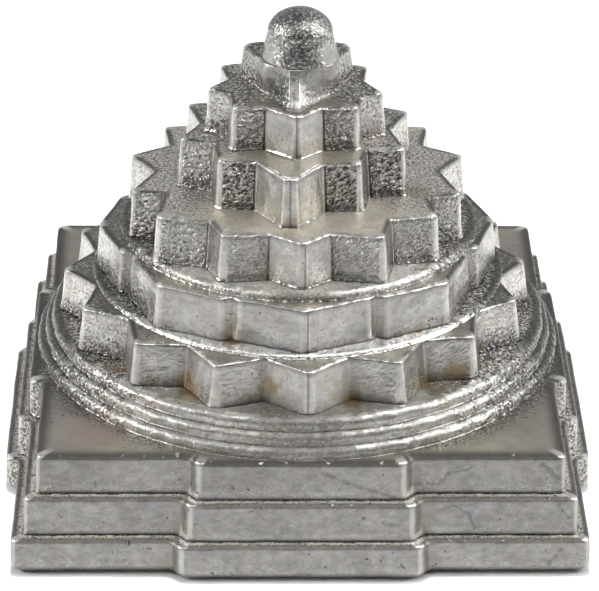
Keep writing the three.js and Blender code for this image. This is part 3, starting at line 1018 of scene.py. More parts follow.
# The looks of a cast metal, from 0 for none upwards, where its piece gives no other
PLAIN_LOOK = {
    # Grit of the walls, the treads, a wall's foot, the far sides and the field by the rings
    "wall_grain": 0.04,
    "tread_grain": 0.1,
    "foot_grit": 0.15,
    "side_grit": 0.0,
    "ring_grit": 0.0,
    # The flanks: their extra grit, how dark painted shade makes them (below 0 it is painted light),
    # how bright the painted glints in that shade are, and how much nearer the front they begin
    "wall_sparkle": 0.8,
    "tread_sparkle": 0.6,
    "wall_gloom": 0.0,
    "foot_gloom": 0.0,
    "tread_gloom": 0.3,
    "glints": 1.0,
    "flank_shift": 0.0,
    # Brightness of all and of the treads, how much painted light brightens a wall's foot, how much
    # painted shade darkens and roughness dulls the middle of the front, and how bright the spots of
    # painted shade are
    "tone": 1.0,
    "tread_tone": 1.0,
    "foot_painted_light": 0.0,
    "front_calm": 0.0,
    "shaded_spots": (),
    "shade": 0.3,
    "smooth_spots": (),
    # How tan the treads are, and how strong clouds, upright streaks and coarse strokes are
    "warmth": 0.85,
    "mottle": 0.6,
    "streaks": 0.04,
    "coarse_dark": 0.8,
    # Pits with their number per millimetre, tarnish, grime and painted shade in the valleys, and
    # scratches
    "pits": 0.6,
    "pit_scale": 4.0,
    "tarnish": 0.4,
    "dirt_and_shade": 0.5,
    "scratches": (),
    # How white top edges are scuffed and painted with highlights, how white the painted highlights
    # on side edges, tips and the dots along a foot are, how rare the dashes on an edge are, and how
    # dark painted shade makes the edge between them
    "edge_wear_and_light": 1.0,
    "side_edge": 0.2,
    "tip_spots": 0.8,
    "beads": 0.6,
    "dots_from": 0.46,
    "edge_shade": 0.3,
    # How dark the painted shade under an edge is, and where across the object a painted dark
    # reflection runs down the front ridge
    "lip": 0.3,
    "ridge_dark_reflection": None,
    "tread_roughness": 0.46,
}
# What the plate's tree stores on each point for the metal to read
STORED = ("on_tread", "sideways", "side_edge", "top_edge", "above_foot", "below_top", "coarse")


def read_surface(b, look):
    """What a cast metal's nodes need to know: stored attributes, noises, places in millimetres."""
    at = SimpleNamespace(**{name: attribute(b, name) for name in STORED})
    at.place = object_place(b)
    at.on_wall = b.opposite(at.on_tread)
    at.near_foot = b.times(b.ramp(at.above_foot, 1.5, 0.0), at.on_wall)

    at.blotch = b.noise(at.place, 1.1, 3.0, 0.6)
    at.strokes = b.noise(stroke_place(b, at.place), 0.85, 2.0, 0.6)
    at.mottle = b.noise(b.vector("MULTIPLY", at.place, (1.3, 1.3, 2.4)), 1.0, 4.0, 0.68)
    at.fine = b.noise(at.place, GRAIN_SCALE, 1.0, 0.6)

    at.across, at.behind = b.along(at.place, RIGHT), b.along(at.place, BACK)
    aside = b.math("ABSOLUTE", at.across)
    at.plan = b.vector("LENGTH", b.vector("MULTIPLY", at.place, (1.0, 1.0, 0.0)), output="Value")
    at.off_front = b.ratio(aside, at.plan)
    ragged = b.times(b.minus(at.blotch, 0.5), 0.5)
    at.flank = b.ramp(b.plus(ragged, look["flank_shift"], at.off_front), *FLANK)
    on_corner = b.ramp(at.off_front, 0.86, 0.95)
    at.to_side = b.most(at.sideways, b.times(on_corner, b.ramp(at.plan, *ROUND_TIERS)))
    gate_gap = b.math("ABSOLUTE", b.minus(b.math("ABSOLUTE", at.behind), GATE_END))
    at.far_out = b.times(
        b.ramp(aside, *BASE_SIDE), b.ramp(at.behind, *BASE_FRONT), b.ramp(gate_gap, 2.0, 1.2)
    )
    at.by_rings = b.times(b.ramp(at.plan, *RINGS_FIELD), b.ramp(at.off_front, 0.3, 0.6))

    # Painted shade on the flanks, deeper at a wall's foot; below 0 it is painted light
    dark_wall = b.plus(b.times(at.near_foot, look["foot_gloom"]), look["wall_gloom"])
    at.gloom = b.times(at.flank, b.mixed(at.on_tread, dark_wall, look["tread_gloom"]))
    # Painted shade that darkens the middle of the front, and roughness that dulls it
    at.calm = b.times(b.ramp(at.off_front, *FRONT_MIDDLE), look["front_calm"])
    at.smooth = 0.0
    if look["smooth_spots"]:
        at.smooth = stain_mask(b, at.place, look["smooth_spots"])
    return at


def cast_grain(b, at, look):
    """How gritty the metal is, from 0 to 1."""
    low_wall = b.plus(b.times(at.near_foot, 0.75), 0.25)
    low_wall = b.times(low_wall, b.most(at.flank, b.times(at.sideways, 0.7)))
    gritty_wall = b.times(low_wall, look["wall_sparkle"])
    gritty_tread = b.times(at.flank, look["tread_sparkle"])
    side_grit = b.mixed(at.on_tread, look["side_grit"], 0.25 * look["side_grit"])
    grain = b.plus(
        b.mixed(at.on_tread, look["wall_grain"], look["tread_grain"]),
        b.mixed(at.on_tread, gritty_wall, gritty_tread),
        b.times(at.near_foot, look["foot_grit"]),
        b.times(at.by_rings, look["ring_grit"]),
        b.times(at.far_out, side_grit),
    )
    patches = b.ramp(at.blotch, 0.35, 0.6, 0.6, 1.2)
    grain = b.times(grain, patches, b.opposite(b.times(at.side_edge, 0.6)))
    grain = b.math("MINIMUM", grain, 1.0)
    return b.times(grain, b.opposite(at.smooth)) if look["smooth_spots"] else grain


def cast_tone(b, at, look):
    """How bright the metal is before its grain and marks are laid over it, with painted shade and
    painted light by place.
    """
    clouds = b.ramp(b.noise(at.place, 0.3, 4.0, 0.6), 0.3, 0.7, 0.84, 1.03)
    tone = b.times(clouds, b.ramp(at.blotch, 0.3, 0.7, 0.9, 1.06))
    streaks = b.noise(b.vector("MULTIPLY", at.place, (2.4, 2.4, 0.3)), 1.0, 2.0)
    streaks = b.times(at.on_wall, look["streaks"], b.ramp(streaks, 0.6, 0.38))
    tread_tone = b.mixed(at.smooth, look["tread_tone"], look["tone"])
    # Painted shade on the walls towards the back
    back_shade = b.times(at.on_wall, 0.35, b.ramp(at.behind, 3.0, 9.0))
    # Painted light at a wall's foot, which lifts the dark reflection of the floor's shadow there
    foot_light = b.times(at.on_wall, look["foot_painted_light"], b.ramp(at.above_foot, 0.7, 0.1))
    side_wall = b.times(at.far_out, at.on_wall, look["side_grit"])
    mottled = b.times(at.on_wall, look["mottle"])
    factors = [
        b.mixed(at.on_tread, look["tone"], tread_tone),
        # Painted shade on the flanks, painted light where it is below 0
        b.opposite(at.gloom),
        b.opposite(back_shade),
        b.plus(1.0, foot_light),
        # Painted shade on the middle of the front
        b.opposite(at.calm),
        b.opposite(b.times(at.by_rings, look["ring_grit"] * 0.9)),
        b.mixed(side_wall, 1.0, 1.9),
        b.mixed(mottled, 1.0, b.ramp(at.mottle, 0.3, 0.7, 0.74, 1.2)),
    ]
    # Spots of painted shade
    if look["shaded_spots"]:
        shaded = stain_mask(b, at.place, look["shaded_spots"])
        factors.append(b.mixed(shaded, 1.0, look["shade"]))
    return b.times(b.minus(tone, streaks), *factors)


def cast_stains_and_shade(b, at, look):
    """The masks and colours of grime with painted shade in the valleys, tarnish, blush, scratches
    and a painted dark reflection on a ridge.
    """
    f = finish()
    dark = rgb(f.grain_and_shade_dark)
    # Grime and painted shade in the valleys, darker near the foot
    dirt_and_shade = b.times(
        attribute(b, "valley"),
        b.ramp(at.above_foot, 3.4, 0.0, 0.4, 1.0),
        look["dirt_and_shade"],
        b.ramp(at.mottle, 0.3, 0.55, 0.5, 1.0),
    )
    in_corner = b.times(at.near_foot, 0.5, b.ramp(at.blotch, 0.45, 0.7))
    ochre = b.most(in_corner, stain_mask(b, at.place, OCHRE_SPOTS))
    blush = b.times(stain_mask(b, at.place, BLUSH_SPOTS), 0.6)
    stains_and_shade = [
        (dirt_and_shade, rgb(f.dirt_and_shade)),
        (b.times(ochre, look["tarnish"]), rgb(f.tarnish)),
        (blush, rgb(f.blush)),
    ]
    if look["scratches"]:
        in_front = b.times(b.ramp(at.behind, *BASE_FACE), 0.45)
        stains_and_shade.append((b.times(scratch_mask(b, at.place, look["scratches"]), in_front), dark))
    # A painted dark reflection of the dim front along the front ridge
    if look["ridge_dark_reflection"] is not None:
        beside = b.math("ABSOLUTE", b.minus(at.across, look["ridge_dark_reflection"]))
        in_front = b.ramp(at.behind, -2.0, -4.0, 0.0, 0.6)
        stains_and_shade.append((b.times(b.ramp(beside, 0.09, 0.03), in_front, at.on_wall), dark))
    return stains_and_shade


def cast_shades(b, at, look):
    """The masks of painted shade along the edges and at the foot of coarse facets."""
    under_edge = b.times(b.ramp(at.below_top, 0.5, 0.3), b.ramp(at.below_top, 0.1, 0.2))
    ragged_foot = b.plus(at.above_foot, b.times(b.minus(at.blotch, 0.5), 0.8))
    dark_edge = b.most(b.times(at.to_side, 0.85), look["edge_shade"])
    return (
        b.times(at.on_wall, look["lip"], under_edge),
        b.times(at.coarse, 0.7, b.ramp(ragged_foot, 0.6, 0.35)),
        b.times(at.top_edge, dark_edge),
    )


def cast_rubbed_and_lit(b, at, look):
    """1 on scuffed edges with painted highlights, and on painted highlights on tips and the dots
    along a foot.
    """
    dashes = b.times(b.minus(b.noise(at.place, 1.5, 2.0), look["dots_from"]), 5.0)
    dashes = b.ramp(b.plus(at.top_edge, dashes), 0.8, 1.3)
    dulled = b.most(at.gloom, b.times(at.calm, 2.6), at.to_side)
    worn_and_lit = b.times(b.ramp(at.top_edge, 0.0, 0.4), look["edge_wear_and_light"], dashes)
    worn_and_lit = b.times(worn_and_lit, b.opposite(dulled, clamp=True))
    dots = b.ramp(b.noise(at.place, 3.6, 1.0), 0.52, 0.62)
    dots = b.times(b.ramp(at.above_foot, 0.2, 0.08), dots, at.on_wall, look["beads"])
    return b.most(worn_and_lit, dots, b.times(attribute(b, "tip_spot"), look["tip_spots"]))


def cast_metal(name, looks):
    """Cast white metal: grain, coarse strokes, pits, tarnish, scratches and scuffed edges, with
    painted shade and painted highlights.
    """
    f = finish()
    look = {**PLAIN_LOOK, "roughness": f.roughness, **looks}
    material, b = new_material(name)
    at = read_surface(b, look)
    grain, tone = cast_grain(b, at, look), cast_tone(b, at, look)

    warm = b.times(look["warmth"], b.mixed(at.flank, 1.0, 0.4), at.on_tread)
    clean = b.mixed_colour(warm, rgb(f.metal), rgb(f.tread_metal))
    hue = b.ramp(b.noise(at.place, 0.8, 3.0, 0.6), 0.38, 0.62)
    tint = b.mixed_colour(hue, rgb(f.cool), rgb(f.warm))
    base = b.scaled(b.vector("MULTIPLY", clean, tint), tone)

    dark, bright = rgb(f.grain_and_shade_dark), rgb(f.worn_and_lit_metal)
    spread, shown = b.times(grain, 0.1), b.times(grain, 2.5, clamp=True)
    hollow, proud = b.minus(at.fine, spread), b.plus(at.fine, b.times(spread, 0.5))
    # Painted glints: bright specks where the flanks' painted shade lies, with a bump under them
    glints = b.ramp(b.noise(at.place, 4.4, 1.0), 0.57, 0.62)
    glints = b.times(glints, at.gloom, look["glints"], clamp=True)
    pitted = b.noise(at.place, look["pit_scale"], 2.0, 0.5)
    pitted = b.times(b.ramp(pitted, 0.31, 0.25), look["pits"])
    rubbed_and_lit = cast_rubbed_and_lit(b, at, look)
    base = b.layered(
        base,
        # Painted highlight: a bright strip along the convex upright edges
        (b.times(at.side_edge, look["side_edge"]), bright),
        (b.times(at.coarse, look["coarse_dark"], b.ramp(at.strokes, 0.52, 0.42)), dark),
        (b.times(at.coarse, 0.4, b.ramp(at.strokes, 0.58, 0.66)), bright),
        (b.times(shown, 0.85, b.ramp(hollow, 0.41, 0.37)), dark),
        (b.times(shown, 0.6, b.ramp(proud, 0.6, 0.64)), bright),
        # Painted glints in the flanks' painted shade
        (glints, bright),
        (pitted, dark),
        *cast_stains_and_shade(b, at, look),
        *((shade, dark) for shade in cast_shades(b, at, look)),
        # Scuffing with painted highlights on edges, tips and the dots along a foot
        (rubbed_and_lit, bright),
    )

    satin = b.plus(
        b.mixed(at.on_tread, look["roughness"], look["tread_roughness"]),
        b.times(at.calm, 0.6),
        b.times(at.top_edge, look["edge_shade"] * 0.45),
    )
    roughness = b.mixed(rubbed_and_lit, b.mixed(grain, satin, GRIT_ROUGHNESS), RUBBED_ROUGHNESS)
    bump = b.plus(b.times(at.fine, b.mixed(grain, 0.06, 1.4)), b.times(at.coarse, 5.0, at.strokes))
    bump = b.plus(b.minus(bump, b.times(pitted, 0.8)), b.times(glints, 0.9))
    metal_surface(b, base, roughness, bump, f.bump_depth)
    return material


def dome_line():
    """The dome's profile as (radius, height) corners: its hole, its underside and its skin."""
    s = sizes()
    low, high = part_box("bindu_dome")
    crest = high.z - DOME_WEAR
    cap_foot = low.z + s.dome_drum_height
    hole_top = low.z + s.dome_hole_depth
    line = [(0, hole_top), (s.dome_hole_radius, hole_top), (s.dome_hole_radius, low.z)]
    line.append((s.dome_foot, low.z))
    steps = 24
    for i in range(steps):
        angle = math.pi / 2 * i / steps
        height = cap_foot + (crest - cap_foot) * math.sin(angle)
        line.append((s.dome_drum * math.cos(angle), height))
    return [*line, (0, crest)]


def dome_metal():
    """The dome's metal: satin cheeks lightened by painted light, a pitted, mottled skin elsewhere,
    spots of painted shade and painted glints.
    """
    f = finish()
    material, b = new_material("cast_dome_metal")
    place = object_place(b)
    blotch = b.noise(place, 1.5, 3.0, 0.65)
    dents = b.noise(place, 3.4, 3.0, 0.65)
    smooth = stain_mask(b, place, DOME_CHEEKS)
    shaded = stain_mask(b, place, DOME_SHADES)
    pitted = b.opposite(b.times(smooth, 0.85))
    # Spots of painted shade: the dark crown and the dark middle of the front
    tone = b.times(b.ramp(blotch, 0.3, 0.7, 0.62, 0.82), b.mixed(shaded, 1.0, 0.55))
    # Painted light on the smooth cheeks
    tone = b.times(tone, b.mixed(smooth, 1.0, 1.3))
    base = b.scaled(rgb(f.metal)[:3], tone)
    specks = b.noise(place, 5.2, 1.0)
    in_dents = b.most(b.ramp(dents, 0.48, 0.4), b.ramp(specks, 0.42, 0.38))
    in_dents = b.times(pitted, 0.6, in_dents)
    base = b.mixed_colour(in_dents, base, rgb(f.grain_and_shade_dark))
    # Painted glints
    glints = b.most(b.ramp(dents, 0.58, 0.64), b.ramp(specks, 0.6, 0.63))
    glints = b.times(pitted, 0.7, glints)
    base = b.mixed_colour(glints, base, rgb(f.worn_and_lit_metal))
    roughness = b.mixed(smooth, f.roughness, 0.42)
    bump = b.plus(dents, b.times(specks, 0.5))
    bump = b.times(bump, b.mixed(smooth, 0.9, 0.1))
    metal_surface(b, base, roughness, bump, f.bump_depth)
    return material


def steel():
    """Plain steel with faint turning marks, for the rod, the washer and the nut."""
    f = finish()
    material, b = new_material("plain_steel")
    place = object_place(b)
    marks = b.noise(b.vector("MULTIPLY", place, (1.0, 1.0, 12.0)), 1.5, 2.0)
    cloud = b.noise(place, 0.8, 3.0)
    dull = rgb([c * 0.75 for c in f.steel])
    base = b.mixed_colour(cloud, dull, rgb(f.steel))
    metal_surface(b, base, b.mixed(marks, 0.25, 0.42), marks, 0.01 * MM)
    return material


BASE_LOOK = {
    "wall_grain": 0.03,
    "tread_grain": 0.3,
    "foot_grit": 0.05,
    "side_grit": 0.8,
    "wall_sparkle": 0.2,
    "tread_sparkle": 0.2,
    "tread_gloom": 0.2,
    "tone": 0.51,
    "tread_tone": 1.85,
    "foot_painted_light": 0.5,
    "mottle": 0.65,
    "streaks": 0.0,
    "pits": 0.8,
    "pit_scale": 2.1,
    "tarnish": 0.15,
    "scratches": BASE_SCRATCHES,
    "edge_wear_and_light": 0.75,
    "side_edge": 0.3,
    "tip_spots": 1.0,
    "beads": 0.05,
    "dots_from": 0.68,
    "edge_shade": 0.8,
    "lip": 0.0,
    "roughness": 0.38,
}
FIELD_LOOK = {
    **BASE_LOOK,
    "tread_grain": 0.04,
    "ring_grit": 0.45,
    "tread_sparkle": 0.0,
    "tread_gloom": 0.0,
    "tread_tone": 0.68,
    "tread_roughness": 0.5,
}
RING_LOOK = {
    "wall_grain": 0.0,
    "tread_grain": 0.12,
    "foot_grit": 0.2,
    "wall_gloom": 0.68,
    "tread_gloom": 0.62,
    "glints": 3.5,
    "flank_shift": 0.06,
    "tone": 1.05,
    "tread_tone": 0.85,
    "front_calm": 0.35,
    "warmth": 0.3,
    "mottle": 0.9,
    "streaks": 0.0,
    "tarnish": 0.9,
    "edge_wear_and_light": 0.9,
    "beads": 0.0,
    "dots_from": 0.48,
    "edge_shade": 0.0,
    "lip": 0.0,
    "roughness": 0.45,
    "tread_roughness": 0.54,
}
LEDGE_LOOK = {
    **RING_LOOK,
    "wall_grain": 0.1,
    "tread_grain": 0.15,
    "wall_gloom": 0.75,
    "tread_gloom": 0.85,
    "flank_shift": 0.0,
    "beads": 1.0,
}
LOWER_LEDGE_LOOK = {
    **LEDGE_LOOK,
    "tone": 1.9,
    "tread_tone": 2.3,
    "front_calm": 0.0,
    "dots_from": 0.46,
}
UPPER_LEDGE_LOOK = {
    **LEDGE_LOOK,
    "tone": 0.9,
    "tread_tone": 1.9,
    "front_calm": 0.45,
    "dots_from": 0.45,
    "roughness": 0.68,
}
PETAL_LOOK = {
    "foot_grit": 0.08,
    "tread_sparkle": 0.15,
    "wall_gloom": -0.3,
    "foot_gloom": 0.65,
    "tread_gloom": 0.5,
    "glints": 0.3,
    "tone": 0.9,
    "tread_tone": 0.78,
    "coarse_dark": 1.0,
    "tarnish": 0.95,
    "dirt_and_shade": 0.6,
    "beads": 0.0,
    "ridge_dark_reflection": 0.45,
}
INNER_PETAL_LOOK = {
    **PETAL_LOOK,
    "tone": 0.86,
    "tread_tone": 0.85,
    "shaded_spots": PETAL_SHADES,
    "shade": 0.5,
    "tarnish": 0.45,
}
STAR_LOOK = {
    "wall_grain": 0.1,
    "foot_grit": 0.06,
    "wall_gloom": -0.2,
    "shaded_spots": STAR_SHADES,
    "shade": 0.75,
    "tarnish": 0.5,
    "beads": 0.25,
    "tread_roughness": 0.6,
}
FOURTEEN_LOOK = {
    **STAR_LOOK,
    "tread_sparkle": 0.35,
    "tread_gloom": 0.14,
    "glints": 7.0,
    "tone": 1.02,
    "tread_tone": 1.1,
    "front_calm": 0.08,
    "coarse_dark": 0.55,
    "ridge_dark_reflection": 0.27,
}
TEN_LOOK = {
    **STAR_LOOK,
    "tread_gloom": 0.1,
    "glints": 6.0,
    "tone": 1.02,
    "tread_tone": 0.72,
    "coarse_dark": 1.0,
    "ridge_dark_reflection": -0.74,
}
EIGHT_LOOK = {
    **STAR_LOOK,
    "tread_sparkle": 0.35,
    "tread_gloom": 0.15,
    "glints": 6.0,
    "tone": 1.07,
    "tread_tone": 0.5,
    "coarse_dark": 0.5,
    "ridge_dark_reflection": -0.27,
}
TRIANGLE_LOOK = {
    "wall_grain": 0.12,
    "tread_grain": 0.5,
    "tone": 0.85,
    "tread_tone": 0.4,
    "shaded_spots": TRIANGLE_SHADES,
    "smooth_spots": TRIANGLE_CHEEKS,
    "tarnish": 0.3,
    "dirt_and_shade": 0.0,
    "edge_wear_and_light": 0.0,
    "side_edge": 0.3,
    "beads": 0.1,
    "lip": 0.0,
    "roughness": 0.42,
}


class YANTRA_OT_base_steps(bpy.types.Operator):
    """Build the three square steps with their gates"""

    bl_idname = "yantra.base_steps"
    bl_label = "Base steps"

    def execute(self, context):
        s = sizes()
        step_metal = cast_metal("cast_base_metal", BASE_LOOK)
        field_metal = cast_metal("cast_field_metal", FIELD_LOOK)
        names = ("base_step_lower", "base_step_middle", "base_step_upper")
        for level, node in enumerate(names):
            skin = {
                "Draft": 0.08 * MM,
                "Edge Radius": 0.3 * MM,
                "Foot Fillet": 0.05 * MM,
                "Tread Share": 0.13,
                "Points Around": 1300,
                "Wall Rows": 26,
                "Tread Rows": 14,
                "Corner Rounding": 14,
                "Lump Depth": 0.12 * MM,
                "Lump Scale": 0.3,
                "Grain Depth": 0.02 * MM,
                "Tread Grain Depth": 0.12 * MM,
                "Seed": 3.0 + level,
            }
            material = step_metal
            if node == "base_step_lower":
                skin["Foot Fillet"] = SEAM_GAP
                skin["Foot Round"] = 0.9 * MM
                skin["Recess Radius"] = s.recess_radius
                skin["Recess Depth"] = s.recess_depth
            elif node == "base_step_upper":
                skin.update({"Tread Share": 0.5, "Tread Rows": 30, "Tread Grain Depth": 0.03 * MM})
                material = field_metal
            cast_plate(node, gated_square_corners(level), material, "base_metal", **skin)
        return {"FINISHED"}


class YANTRA_OT_round_plates(bpy.types.Operator):
    """Build the three round plates and the two ledges"""

    bl_idname = "yantra.round_plates"
    bl_label = "Round plates and ledges"

    def execute(self, context):
        s = sizes()
        material = cast_metal("cast_plate_metal", RING_LOOK)
        skin = {
            "Edge Radius": 0.56 * MM,
            "Foot Fillet": 0.06 * MM,
            "Tread Share": 0.09,
            "Points Around": 1000,
            "Wall Rows": 8,
            "Edge Rows": 6,
            "Tread Rows": 12,
            "Lump Depth": 0.2 * MM,
            "Lump Scale": 0.7,
            "Grain Depth": 0.03 * MM,
            "Tread Grain Depth": 0.06 * MM,
        }
        names = ("round_plate_lower", "round_plate_middle", "round_plate_upper")
        for number, (node, radius) in enumerate(zip(names, s.ring_radii)):
            if node == "round_plate_upper":
                skin.update({"Tread Share": 0.28, "Tread Rows": 28})
            skin["Seed"] = 11.0 + number
            cast_plate(node, circle_corners(radius), material, "plate_metal", **skin)

        skin = {
            "Foot Fillet": 0.05 * MM,
            "Tread Share": 0.28,
            "Points Around": 1000,
            "Wall Rows": 4,
            "Edge Rows": 6,
            "Tread Rows": 24,
            "Lump Depth": 0.08 * MM,
            "Grain Depth": 0.18 * MM,
            "Tread Grain Depth": 0.1 * MM,
        }
        ledges = (
            ("lower_ledge", s.lower_ledge_radius, LOWER_LEDGE_LOOK, 0.32 * MM),
            ("upper_ledge", s.upper_ledge_radius, UPPER_LEDGE_LOOK, 0.5 * MM),
        )
        for number, (name, radius, look, edge_radius) in enumerate(ledges):
            material = cast_metal(f"cast_{name}_metal", look)
            skin.update({"Edge Radius": edge_radius, "Seed": 21.0 + number})
            cast_plate(name + "_disc", circle_corners(radius), material, "plate_metal", **skin)
        return {"FINISHED"}


class YANTRA_OT_petal_tiers(bpy.types.Operator):
    """Build the sixteen-petal and the eight-petal tiers"""

    bl_idname = "yantra.petal_tiers"
    bl_label = "Petal tiers"

    def execute(self, context):
        s, f = sizes(), finish()
        outer = cast_metal("cast_petal_metal", PETAL_LOOK)
        inner = cast_metal("cast_inner_petal_metal", INNER_PETAL_LOOK)
        skin = {
            "Draft": 0.4 * MM,
            "Foot Fillet": 0.02 * MM,
            "Tread Share": 0.25,
            "Facet Hollow": f.facet_hollow,
            "Points Around": 1100,
            "Coarse Front Facets": 0.12,
            "Bead Height": 0.02 * MM,
            "Seed": 31.0,
        }
        reaches = (s.sixteen_tip, s.sixteen_valley, s.sixteen_turn, s.sixteen_shift)
        corners = star_corners(16, *reaches, {}, s.blunt, s.blunt)
        node = "sixteen_petal_tier"
        cast_plate(node, corners, outer, "tier_metal", s.sixteen_shift, **skin)

        skin.update({"Draft": 0.25 * MM, "Points Around": 1000})
        skin.update({"Coarse Front Facets": 0.1, "Seed": 37.0})
        node = "eight_petal_tier"
        cast_plate(node, petal_corners(), inner, "tier_metal", s.eight_petal_shift, **skin)
        return {"FINISHED"}


class YANTRA_OT_star_tiers(bpy.types.Operator):
    """Build the fourteen, ten and eight point tiers"""

    bl_idname = "yantra.star_tiers"
    bl_label = "Star tiers"

    def execute(self, context):
        s, f = sizes(), finish()
        skin = {
            "Draft": 0.25 * MM,
            "Foot Fillet": 0.05 * MM,
            "Tread Share": 0.45,
            "Facet Hollow": f.facet_hollow,
            "Wall Rows": 34,
            "Bead Height": f.bead_height,
        }
        fourteen = (14, s.fourteen_tip, s.fourteen_valley, 0.0, s.fourteen_shift)
        ten = (10, s.ten_tip, s.ten_valley, s.ten_turn, s.ten_shift)
        eight = (8, s.eight_tip, s.eight_valley, s.eight_turn, s.eight_shift)
        # Name, star, corners out of true, flat on the front tip, look, points around, coarseness
        stars = (
            ("fourteen", fourteen, FOURTEEN_OUT_OF_TRUE, s.blunt, FOURTEEN_LOOK, 1000, 0.6),
            ("ten", ten, TEN_OUT_OF_TRUE, s.ten_front_blunt, TEN_LOOK, 760, 1.0),
            ("eight", eight, EIGHT_OUT_OF_TRUE, s.blunt, EIGHT_LOOK, 600, 0.9),
        )
        for number, (name, star, out_of_true, front, look, around, coarse) in enumerate(stars):
            material = cast_metal(f"cast_{name}_metal", look)
            corners = star_corners(*star, out_of_true, s.blunt, front)
            skin.update({"Points Around": around, "Coarse Front Facets": coarse})
            skin["Seed"] = 41.0 + number
            cast_plate(name + "_point_tier", corners, material, "tier_metal", star[-1], **skin)
        return {"FINISHED"}


class YANTRA_OT_triangle_and_dome(bpy.types.Operator):
    """Build the triangle tier and the bindu dome"""

    bl_idname = "yantra.triangle_and_dome"
    bl_label = "Triangle and dome"

    def execute(self, context):
        s = sizes()
        material = cast_metal("cast_triangle_metal", TRIANGLE_LOOK)
        foot = triangle_corners(s.ridge_foot, s.triangle_foot, s.waist_foot)
        top = triangle_corners(s.ridge_top, s.triangle_top, s.waist_top)
        rims = [1.0 if i in BACK_CORNERS else 0.1 for i in range(len(foot))]
        skin = {
            "Draft": 0.05 * MM,
            "Edge Radius": 0.42 * MM,
            "Foot Fillet": 0.08 * MM,
            "Tread Share": 0.6,
            "Points Around": 420,
            "Wall Rows": 30,
            "Tread Rows": 16,
            "Bead Height": 0.02 * MM,
            "Climb Curve": 0.6,
            "Cheek Height": 0.36 * MM,
            "Seed": 51.0,
        }
        cast_plate("triangle_tier", foot, material, "tier_metal", top=top, rims=rims, **skin)

        line = dome_line()
        mesh = bpy.data.meshes.new("dome_line")
        edges = [(i, i + 1) for i in range(len(line) - 1)]
        mesh.from_pydata([(radius, 0, height) for radius, height in line], edges, [])
        spans = [math.dist(a, b) for a, b in zip(line, line[1:])]
        inside = sum(spans[:DOME_INSIDE_SPANS]) / sum(spans)
        values = {
            "Points Around": 200,
            "Rows": 130,
            "Lump Depth": 0.08 * MM,
            "Grain Depth": 0.02 * MM,
            "Skin From": inside + DOME_SKIN_GAP,
            "Seed": 61.0,
            "Material": dome_metal(),
        }
        source = linked("dome_line", mesh)
        dome = shaped("bindu_dome_cast", source, turned_tree(), values)
        place_piece(dome, "bindu_dome")
        return {"FINISHED"}


class YANTRA_OT_rod_hardware(bpy.types.Operator):
    """Finish the tie rod, the washer and the nut"""

    bl_idname = "yantra.rod_hardware"
    bl_label = "Rod, washer and nut"

    def execute(self, context):
        material = steel()
        for node in ("tie_rod", "rod_washer", "rod_nut"):
            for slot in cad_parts[node].material_slots:
                slot.material = material
        return {"FINISHED"}


def softbox(name, place, width, height, power):
    """A soft light that is aimed at the middle of the object."""
    data = bpy.data.lights.new(name, "AREA")
    data.shape = "RECTANGLE"
    data.size, data.size_y = width, height
    data.energy = power
    light = linked(name, data)
    light.location = place
    light.rotation_mode = "QUATERNION"
    light.rotation_quaternion = (LIGHT_AIM - light.location).to_track_quat("-Z", "Y")


def floor_light(stage):
    """A round soft-edged pool of light on the floor, which no metal mirrors."""
    data = bpy.data.lights.new("floor_light", "SPOT")
    data.energy = stage.floor_power
    data.shadow_soft_size = 0.02
    data.spot_size = 2 * math.atan(POOL_RADIUS / POOL_HEIGHT)
    data.spot_blend = 0.35
    light = linked("floor_light", data)
    light.location = (*POOL_CENTRE, POOL_HEIGHT)
    light.visible_glossy = False


def photo_camera(stage):
    """The camera at the photograph's viewing angle."""
    azimuth, elevation, roll = stage.azimuth, stage.elevation, stage.roll
    ahead = math.cos(elevation)
    back = Vector((math.sin(azimuth) * ahead, -math.cos(azimuth) * ahead, math.sin(elevation)))
    right = Vector((math.cos(azimuth), math.sin(azimuth), 0))
    up = back.cross(right)
    rolled_right = right * math.cos(roll) + up * math.sin(roll)
    rolled_up = up * math.cos(roll) - right * math.sin(roll)
    data = bpy.data.cameras.new("photo_camera")
    data.sensor_width = 36
    data.lens = stage.lens
    data.clip_start, data.clip_end = 0.01, 10
    axes = Matrix((rolled_right, rolled_up, back)).transposed().to_4x4()
    camera = linked("photo_camera", data)
    camera.matrix_world = Matrix.Translation(Vector(stage.target) + back * stage.distance) @ axes
    bpy.context.scene.camera = camera


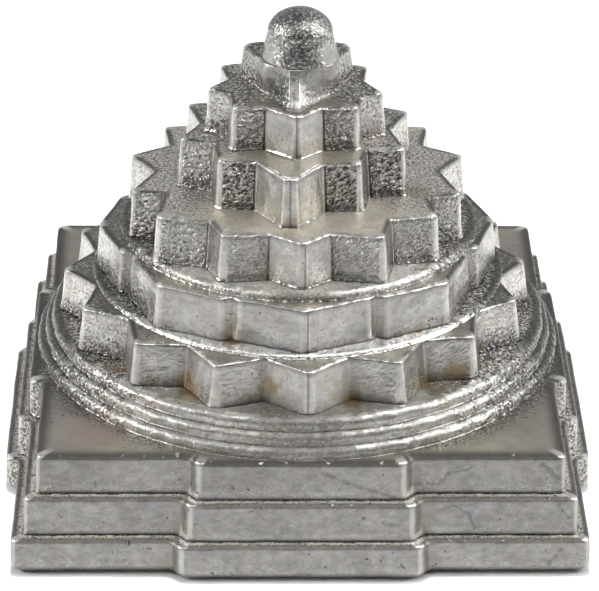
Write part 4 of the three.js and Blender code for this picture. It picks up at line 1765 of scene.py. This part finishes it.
class YANTRA_OT_stage(bpy.types.Operator):
    """Make the pale floor, the soft lights and the camera"""

    bl_idname = "yantra.stage"
    bl_label = "Floor, lights and camera"

    def execute(self, context):
        scene = context.scene
        stage = scene.yantra_stage
        scene.view_settings.view_transform = "Standard"

        mesh = bpy.data.meshes.new("floor")
        half = FLOOR_HALF_WIDTH
        corners = ((-half, -half), (half, -half), (half, half), (-half, half))
        mesh.from_pydata([(x, y, -FLOOR_DROP) for x, y in corners], [], [(0, 1, 2, 3)])
        floor = linked("floor", mesh)
        material, b = new_material("pale_floor")
        faint = b.noise(object_place(b), 0.02, 2.0)
        base = b.mixed_colour(faint, rgb([c * 0.98 for c in stage.floor]), rgb(stage.floor))
        end_surface(b, {"Base Color": base, "Roughness": 0.9})
        mesh.materials.append(material)

        world = bpy.data.worlds.new("studio")
        world.use_nodes = True
        w = TreeBuilder(world.node_tree)
        towards = w.add("ShaderNodeTexCoord", {}, "Generated")
        across, depth, rise = (w.along(towards, axis) for axis in (RIGHT, BACK, UP))
        shade = w.mixed_colour(w.ramp(across, 0.0, 0.8), rgb(stage.surround), rgb(stage.right_side))
        shade = w.mixed_colour(w.ramp(depth, -0.75, 0.1), rgb(stage.dim_front), shade)
        shade = w.scaled(shade, w.ramp(rise, 0.5, 0.85, 1.0, stage.ceiling))
        w.tree.links.new(shade, world.node_tree.nodes["Background"].inputs["Color"])
        scene.world = world

        left, right = stage.side_power * 0.95, stage.side_power * 0.9
        softbox("left_softbox", (-0.245, -0.03, 0.15), SOFTBOX_WIDTH, SOFTBOX_WIDTH, left)
        softbox("right_softbox", (0.245, -0.03, 0.17), SOFTBOX_WIDTH, SOFTBOX_WIDTH, right)
        softbox("strip_light", (0.06, -0.07, 0.3), 0.5, 0.13, stage.strip_power)
        floor_light(stage)
        photo_camera(stage)
        return {"FINISHED"}


class YANTRA_PT_panel(bpy.types.Panel):
    """Lists the steps that build the yantra, and its sizes and finish"""

    bl_idname = "YANTRA_PT_panel"
    bl_label = "Meru shri yantra"
    bl_space_type = "VIEW_3D"
    bl_region_type = "UI"
    bl_category = "Yantra"

    def draw(self, context):
        layout = self.layout
        for operator in OPERATORS:
            layout.operator(operator.bl_idname)
        scene = context.scene
        for group in (scene.yantra_sizes, scene.yantra_finish, scene.yantra_stage):
            box = layout.box()
            for name in group.__annotations__:
                box.prop(group, name)


GROUPS = (YantraSizes, YantraFinish, YantraStage)
OPERATORS = (
    YANTRA_OT_base_steps,
    YANTRA_OT_round_plates,
    YANTRA_OT_petal_tiers,
    YANTRA_OT_star_tiers,
    YANTRA_OT_triangle_and_dome,
    YANTRA_OT_rod_hardware,
    YANTRA_OT_stage,
)


def register():
    for cls in (*GROUPS, *OPERATORS, YANTRA_PT_panel):
        bpy.utils.register_class(cls)
    bpy.types.Scene.yantra_sizes = PointerProperty(type=YantraSizes)
    bpy.types.Scene.yantra_finish = PointerProperty(type=YantraFinish)
    bpy.types.Scene.yantra_stage = PointerProperty(type=YantraStage)


def unregister():
    del bpy.types.Scene.yantra_stage
    del bpy.types.Scene.yantra_finish
    del bpy.types.Scene.yantra_sizes
    for cls in reversed((*GROUPS, *OPERATORS, YANTRA_PT_panel)):
        bpy.utils.unregister_class(cls)


def main():
    register()
    bpy.ops.yantra.base_steps()
    bpy.ops.yantra.round_plates()
    bpy.ops.yantra.petal_tiers()
    bpy.ops.yantra.star_tiers()
    bpy.ops.yantra.triangle_and_dome()
    bpy.ops.yantra.rod_hardware()
    bpy.ops.yantra.stage()


if __name__ == "__main__":
    main()
